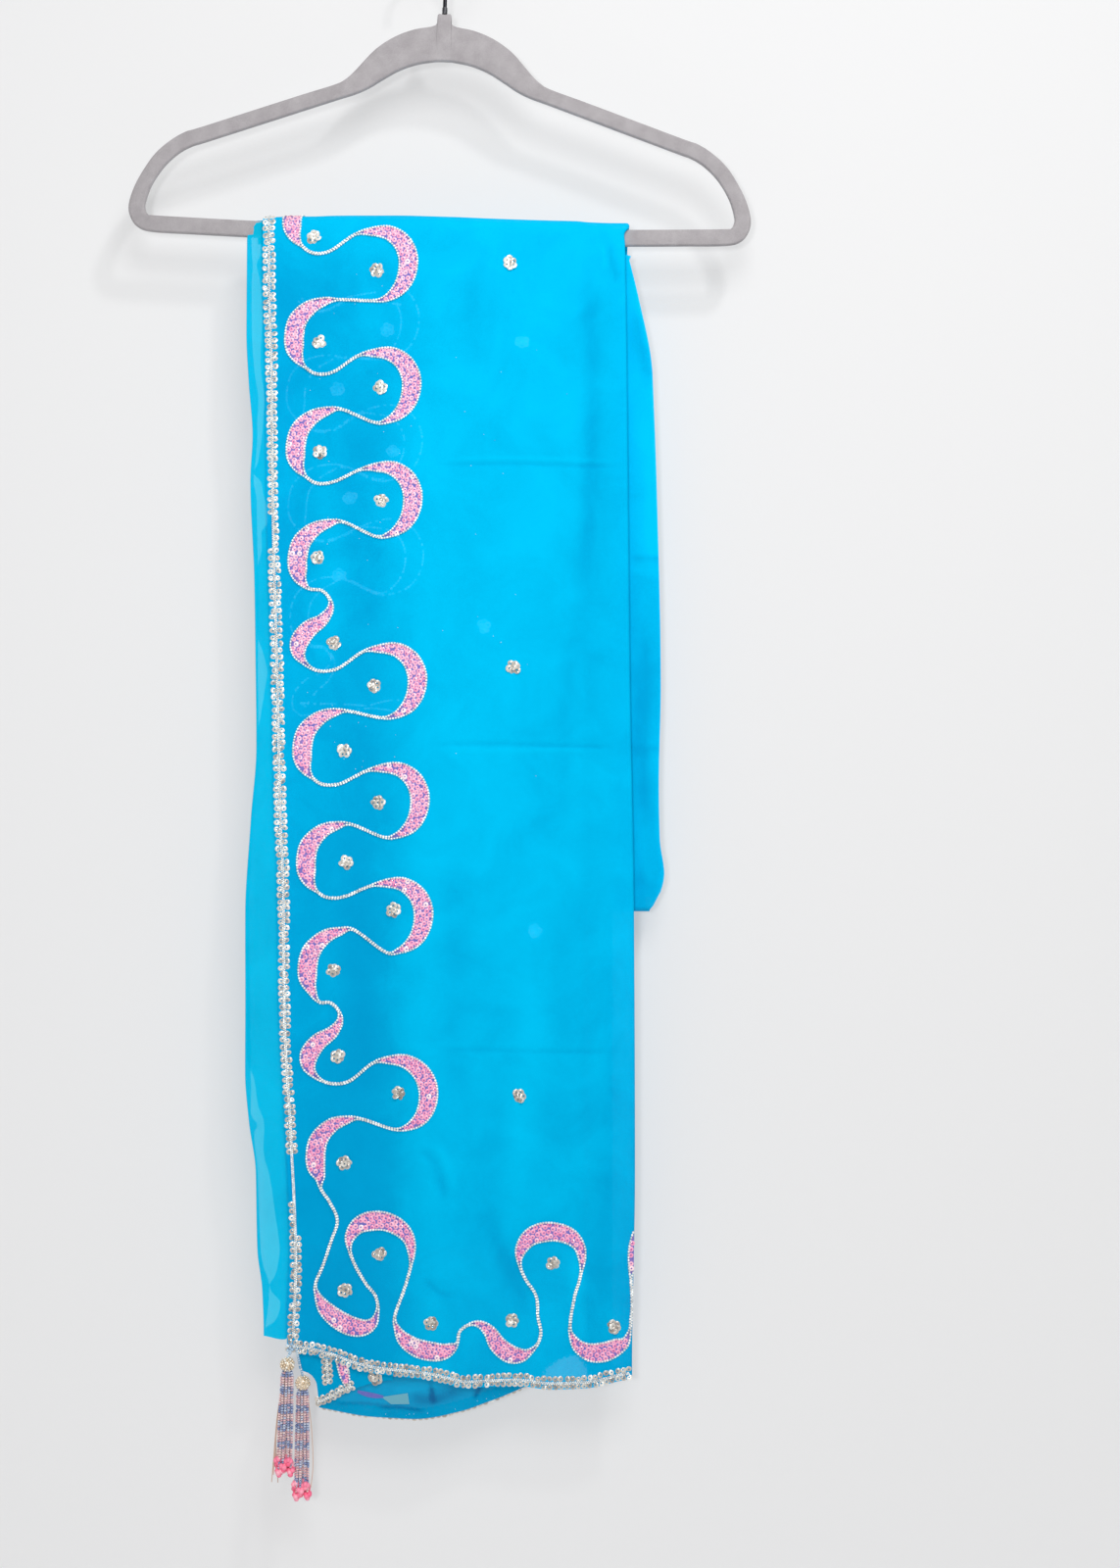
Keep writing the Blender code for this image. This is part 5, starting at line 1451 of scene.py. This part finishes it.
def build_tassel(name, sizes):
    x, y, z, radius, *_ = sizes
    root_x, root_y, root_z, painted_head_light = sizes[7:]
    beads = []
    buds = []
    for index in range(STRANDS):
        route = strand_route(index, sizes[:7])
        beads.append(strung(spline(route, 6), STRAND, banded))
        end = np.array(route[-1])
        for petal in range(4):
            angle = math.tau * petal / 4 + index
            drop = 2.2 + 1.1 * (petal % 2)
            buds.append(end + (1.5 * math.cos(angle), 1.2 * math.sin(angle), -drop))
        buds.append(end + (0, 0, -5.2))
    scattered(f"{name}_beads", BEAD, join_places(*beads), TASSEL_BEADS, "tassel_beads", name)
    places = loose(buds, BUD_RADIUS, any_tint(buds))
    scattered(f"{name}_buds", BALL, places, TASSEL_BUDS, "tassel_beads")
    count = HEAD_COUNT
    level = 1 - 2 * (np.arange(count) + 0.5) / count
    turn = np.arange(count) * math.pi * (3 - math.sqrt(5))
    flat = np.sqrt(1 - level**2)
    skin = np.stack([flat * np.cos(turn), flat * np.sin(turn), level], axis=1) * (radius - 0.85)
    skin = np.concatenate([[(0, 0, 0)], skin]) + (x, y, z)
    radii = np.concatenate([[radius - 0.9], np.full(count, HEAD_BEAD_RADIUS)])
    # Painted light: the head's beads are paler on the lit head and darker on the one in shade.
    tint = np.clip(DRAW.normal(painted_head_light, 0.28, count + 1), 0, 1)
    scattered(f"{name}_head", BALL, loose(skin, radii, tint), TASSEL_GOLD, "tassel_beads")
    top, root_y = z + radius, root_y - 1.4
    halfway = (between(root_x, x, 0.5), between(root_y, y, 0.6), between(root_z, top, 0.5))
    route = ((root_x, root_y, root_z + 3), halfway, (x, y, top - 0.6))
    link = strung(spline(route, 8), LINK, any_tint)
    scattered(f"{name}_link", BEAD, link, LINK_BEADS, "tassel_beads")


def build_tassels():
    for name, sizes in TASSELS.items():
        build_tassel(name, sizes)
    for number, route in enumerate(WHISKERS):
        line = spline(route, 8)
        tube(f"thread_{number + 1}", line, [THREAD_RADIUS] * len(line), 5, THREAD, "tassel_beads")
    places = loose(CORNER_BEADS, CORNER_BEAD_RADIUS, any_tint(CORNER_BEADS))
    scattered("corner_beads", BALL, places, LINK_BEADS, "tassel_beads")


def hanger_ring(outer, inner):
    """Section of the flat frame between its outer and inner edge, with rounded edges."""
    across = unit(inner - outer)
    turns = np.linspace(0, 180, 9)
    ring = []
    for edge, way, turns in ((outer, across, turns), (inner, -across, turns[::-1])):
        for turn in np.radians(turns):
            place = edge + way * (HANGER_EDGE_ROUND * (1 - math.sin(turn) ** 0.8))
            ring.append(tilted(place[0], HANGER_HALF_THICK * math.cos(turn), place[1]))
    return np.array(ring)


def build_hanger():
    stations = list(HANGER_STATIONS)
    for along in np.linspace(BAR_HALF_SPAN - 3, 0, 8):
        top = -BAR_TOP - bar_sag(along)
        stations.append((along, top - BAR_HEIGHT, along, top))
    mirrored = [(-ox, oz, -ix, iz) for ox, oz, ix, iz in stations[-2:0:-1]]
    loop = np.array(stations + mirrored)
    fine = spline(np.concatenate([loop[-2:], loop, loop[:3]]), 4)[8 : 8 + 4 * len(loop) + 1]
    rows = [hanger_ring(row[:2], row[2:]) for row in fine[:-1]]
    piece = grid("hanger_body", rows + rows[:1], FLOCK, "flock", "hanger_frame", closed=True)
    join_ends(piece)


def join_ends(piece):
    """Joins points that lie on each other, where a ring's last row meets its first."""
    form = bmesh.new()
    form.from_mesh(piece.data)
    bmesh.ops.remove_doubles(form, verts=form.verts, dist=0.00001)
    bmesh.ops.recalc_face_normals(form, faces=form.faces)
    form.to_mesh(piece.data)
    form.free()


def tube(name, route, radii, sides, finish, slot, *nodes):
    """A round wire or thread along a route, with its ends drawn in."""
    turns = np.arange(sides) * math.tau / sides
    rows = []
    for centre, run, radius in zip(route, unit(np.gradient(route, axis=0)), radii):
        one = unit(np.cross(run, (0, 1, 0)))
        two = np.cross(run, one)
        rows.append(centre + radius * (np.outer(np.cos(turns), one) + np.outer(np.sin(turns), two)))
    start, end = rows[0].mean(axis=0), rows[-1].mean(axis=0)
    first = [start + (rows[0] - start) * share for share in (0.01, 0.6)]
    last = [end + (rows[-1] - end) * share for share in (0.6, 0.01)]
    grid(name, first + rows + last, finish, slot, *nodes, closed=True)


def build_hook():
    radius = HOOK_INNER_RADIUS + WIRE_RADIUS

    def on_hook(turn):
        return np.array((radius * math.cos(turn), radius * math.sin(turn) - HOOK_INNER_RADIUS))

    angle = math.radians(HOOK_TURNS[0])
    bend = np.array((0, BEND_FOOT))
    join = on_hook(angle)
    one = bend + (0, BEND_REACH)
    two = join - np.array((-math.sin(angle), math.cos(angle))) * BEND_REACH
    points = [(0, SLEEVE_BOTTOM + SLEEVE_HEIGHT + 0.3), bend]
    for part in np.linspace(0, 1, 12)[1:-1]:
        rest = 1 - part
        points.append(
            bend * rest**3 + one * 3 * part * rest**2 + two * 3 * part**2 * rest + join * part**3
        )
    points += [on_hook(turn) for turn in np.radians(np.linspace(*HOOK_TURNS, 60))]
    route = np.array([tilted(x, 0, z) for x, z in points])
    tube("hook_wire", route, [WIRE_RADIUS] * len(route), 16, WIRE, "wire", "hanger_hook")
    heights = np.linspace(SLEEVE_BOTTOM, SLEEVE_BOTTOM + SLEEVE_HEIGHT, 9)
    route = np.array([tilted(0, 0, z) for z in heights])
    radii = SLEEVE_RADIUS * np.array((0.9, 1, 1, 0.93, 1, 1, 0.93, 1, 0.85))
    tube("hook_collar", route, radii, 20, SLEEVE, "sleeve", "hook_sleeve")


def build_stage():
    """A pale wall close behind that is clear from its back, and a floor well below."""
    numbers = {
        "Base Color": (0.4, 0.4, 0.402, 1),
        "Roughness": 0.9,
        "Specular IOR Level": 0.05,
        "Emission Color": (0.995, 0.995, 1, 1),
        "Emission Strength": 0.4,
    }
    made, tree, shader, output = new_material("pale_wall", numbers)
    whole = blended(tree, shader, node(tree, "ShaderNodeBsdfTransparent"), 0)
    face = node(tree, "ShaderNodeNewGeometry")
    tree.links.new(face.outputs["Backfacing"], whole.inputs[0])
    tree.links.new(whole.outputs["Shader"], output.inputs["Surface"])
    wide = 3000
    corners = ((-wide, -2600), (wide, -2600), (wide, 1600), (-wide, 1600))
    wall = make_mesh("wall", [(x, WALL_DEPTH, z) for x, z in corners], [(0, 1, 2, 3)], made)
    made = new_material("pale_floor", {"Base Color": (0.8, 0.8, 0.8, 1), "Roughness": 0.8})[0]
    corners = ((-wide, -wide), (wide, -wide), (wide, wide), (-wide, wide))
    floor = make_mesh("floor", [(x, y, FLOOR_HEIGHT) for x, y in corners], [(0, 1, 2, 3)], made)


def area_light(name, place, target, size, power):
    light = bpy.data.lights.new(name, "AREA")
    light.shape = "RECTANGLE"
    light.size, light.size_y = size
    light.energy = power
    lamp = linked(bpy.data.objects.new(name, light))
    lamp.location = place
    aim = Vector(target) - Vector(place)
    lamp.rotation_euler = aim.to_track_quat("-Z", "Y").to_euler()


def build_lights():
    world = bpy.data.worlds.new("soft_studio")
    world.use_nodes = True
    sky = world.node_tree.nodes["Background"]
    sky.inputs["Color"].default_value = (1, 1, 1, 1)
    sky.inputs["Strength"].default_value = 0.33
    bpy.context.scene.world = world
    area_light("key", (0.6, -1.05, 0.75), (0.05, 0, -0.4), (0.15, 0.15), 7)
    area_light("near_lens", (-0.1, -1.9, -0.56), (0.05, 0, -0.5), (0.14, 0.14), 11)
    area_light("fill", (0.3, -1.5, 0.4), (0.05, 0, -0.3), (0.8, 0.7), 12.8)
    bpy.context.scene.view_settings.view_transform = "Standard"


def build_camera():
    data = bpy.data.cameras.new("camera")
    data.sensor_width = 36
    data.lens = data.sensor_width * CAMERA_DISTANCE / VIEW_HEIGHT
    camera = linked(bpy.data.objects.new("camera", data))
    x, y, z = VIEW_CENTRE
    camera.location = Vector((x, y - CAMERA_DISTANCE, z)) * MM
    camera.rotation_euler = (math.radians(90), 0, 0)
    data.clip_start, data.clip_end = 0.01, 20
    bpy.context.scene.camera = camera


outer = build_outer()
sheer, second, under, leaf = build_layers()
wrap, folds = build_bundle()
vine_line = full_vine()
vines = build_vine(vine_line)
ghosts, specks = build_ghosts(vine_line)
borders = build_borders()
leaf_trim, under_trim, patch = build_under_trim()
spangles = build_spangles()
build_tassels()
build_hanger()
build_hook()
build_stage()
build_lights()
build_camera()
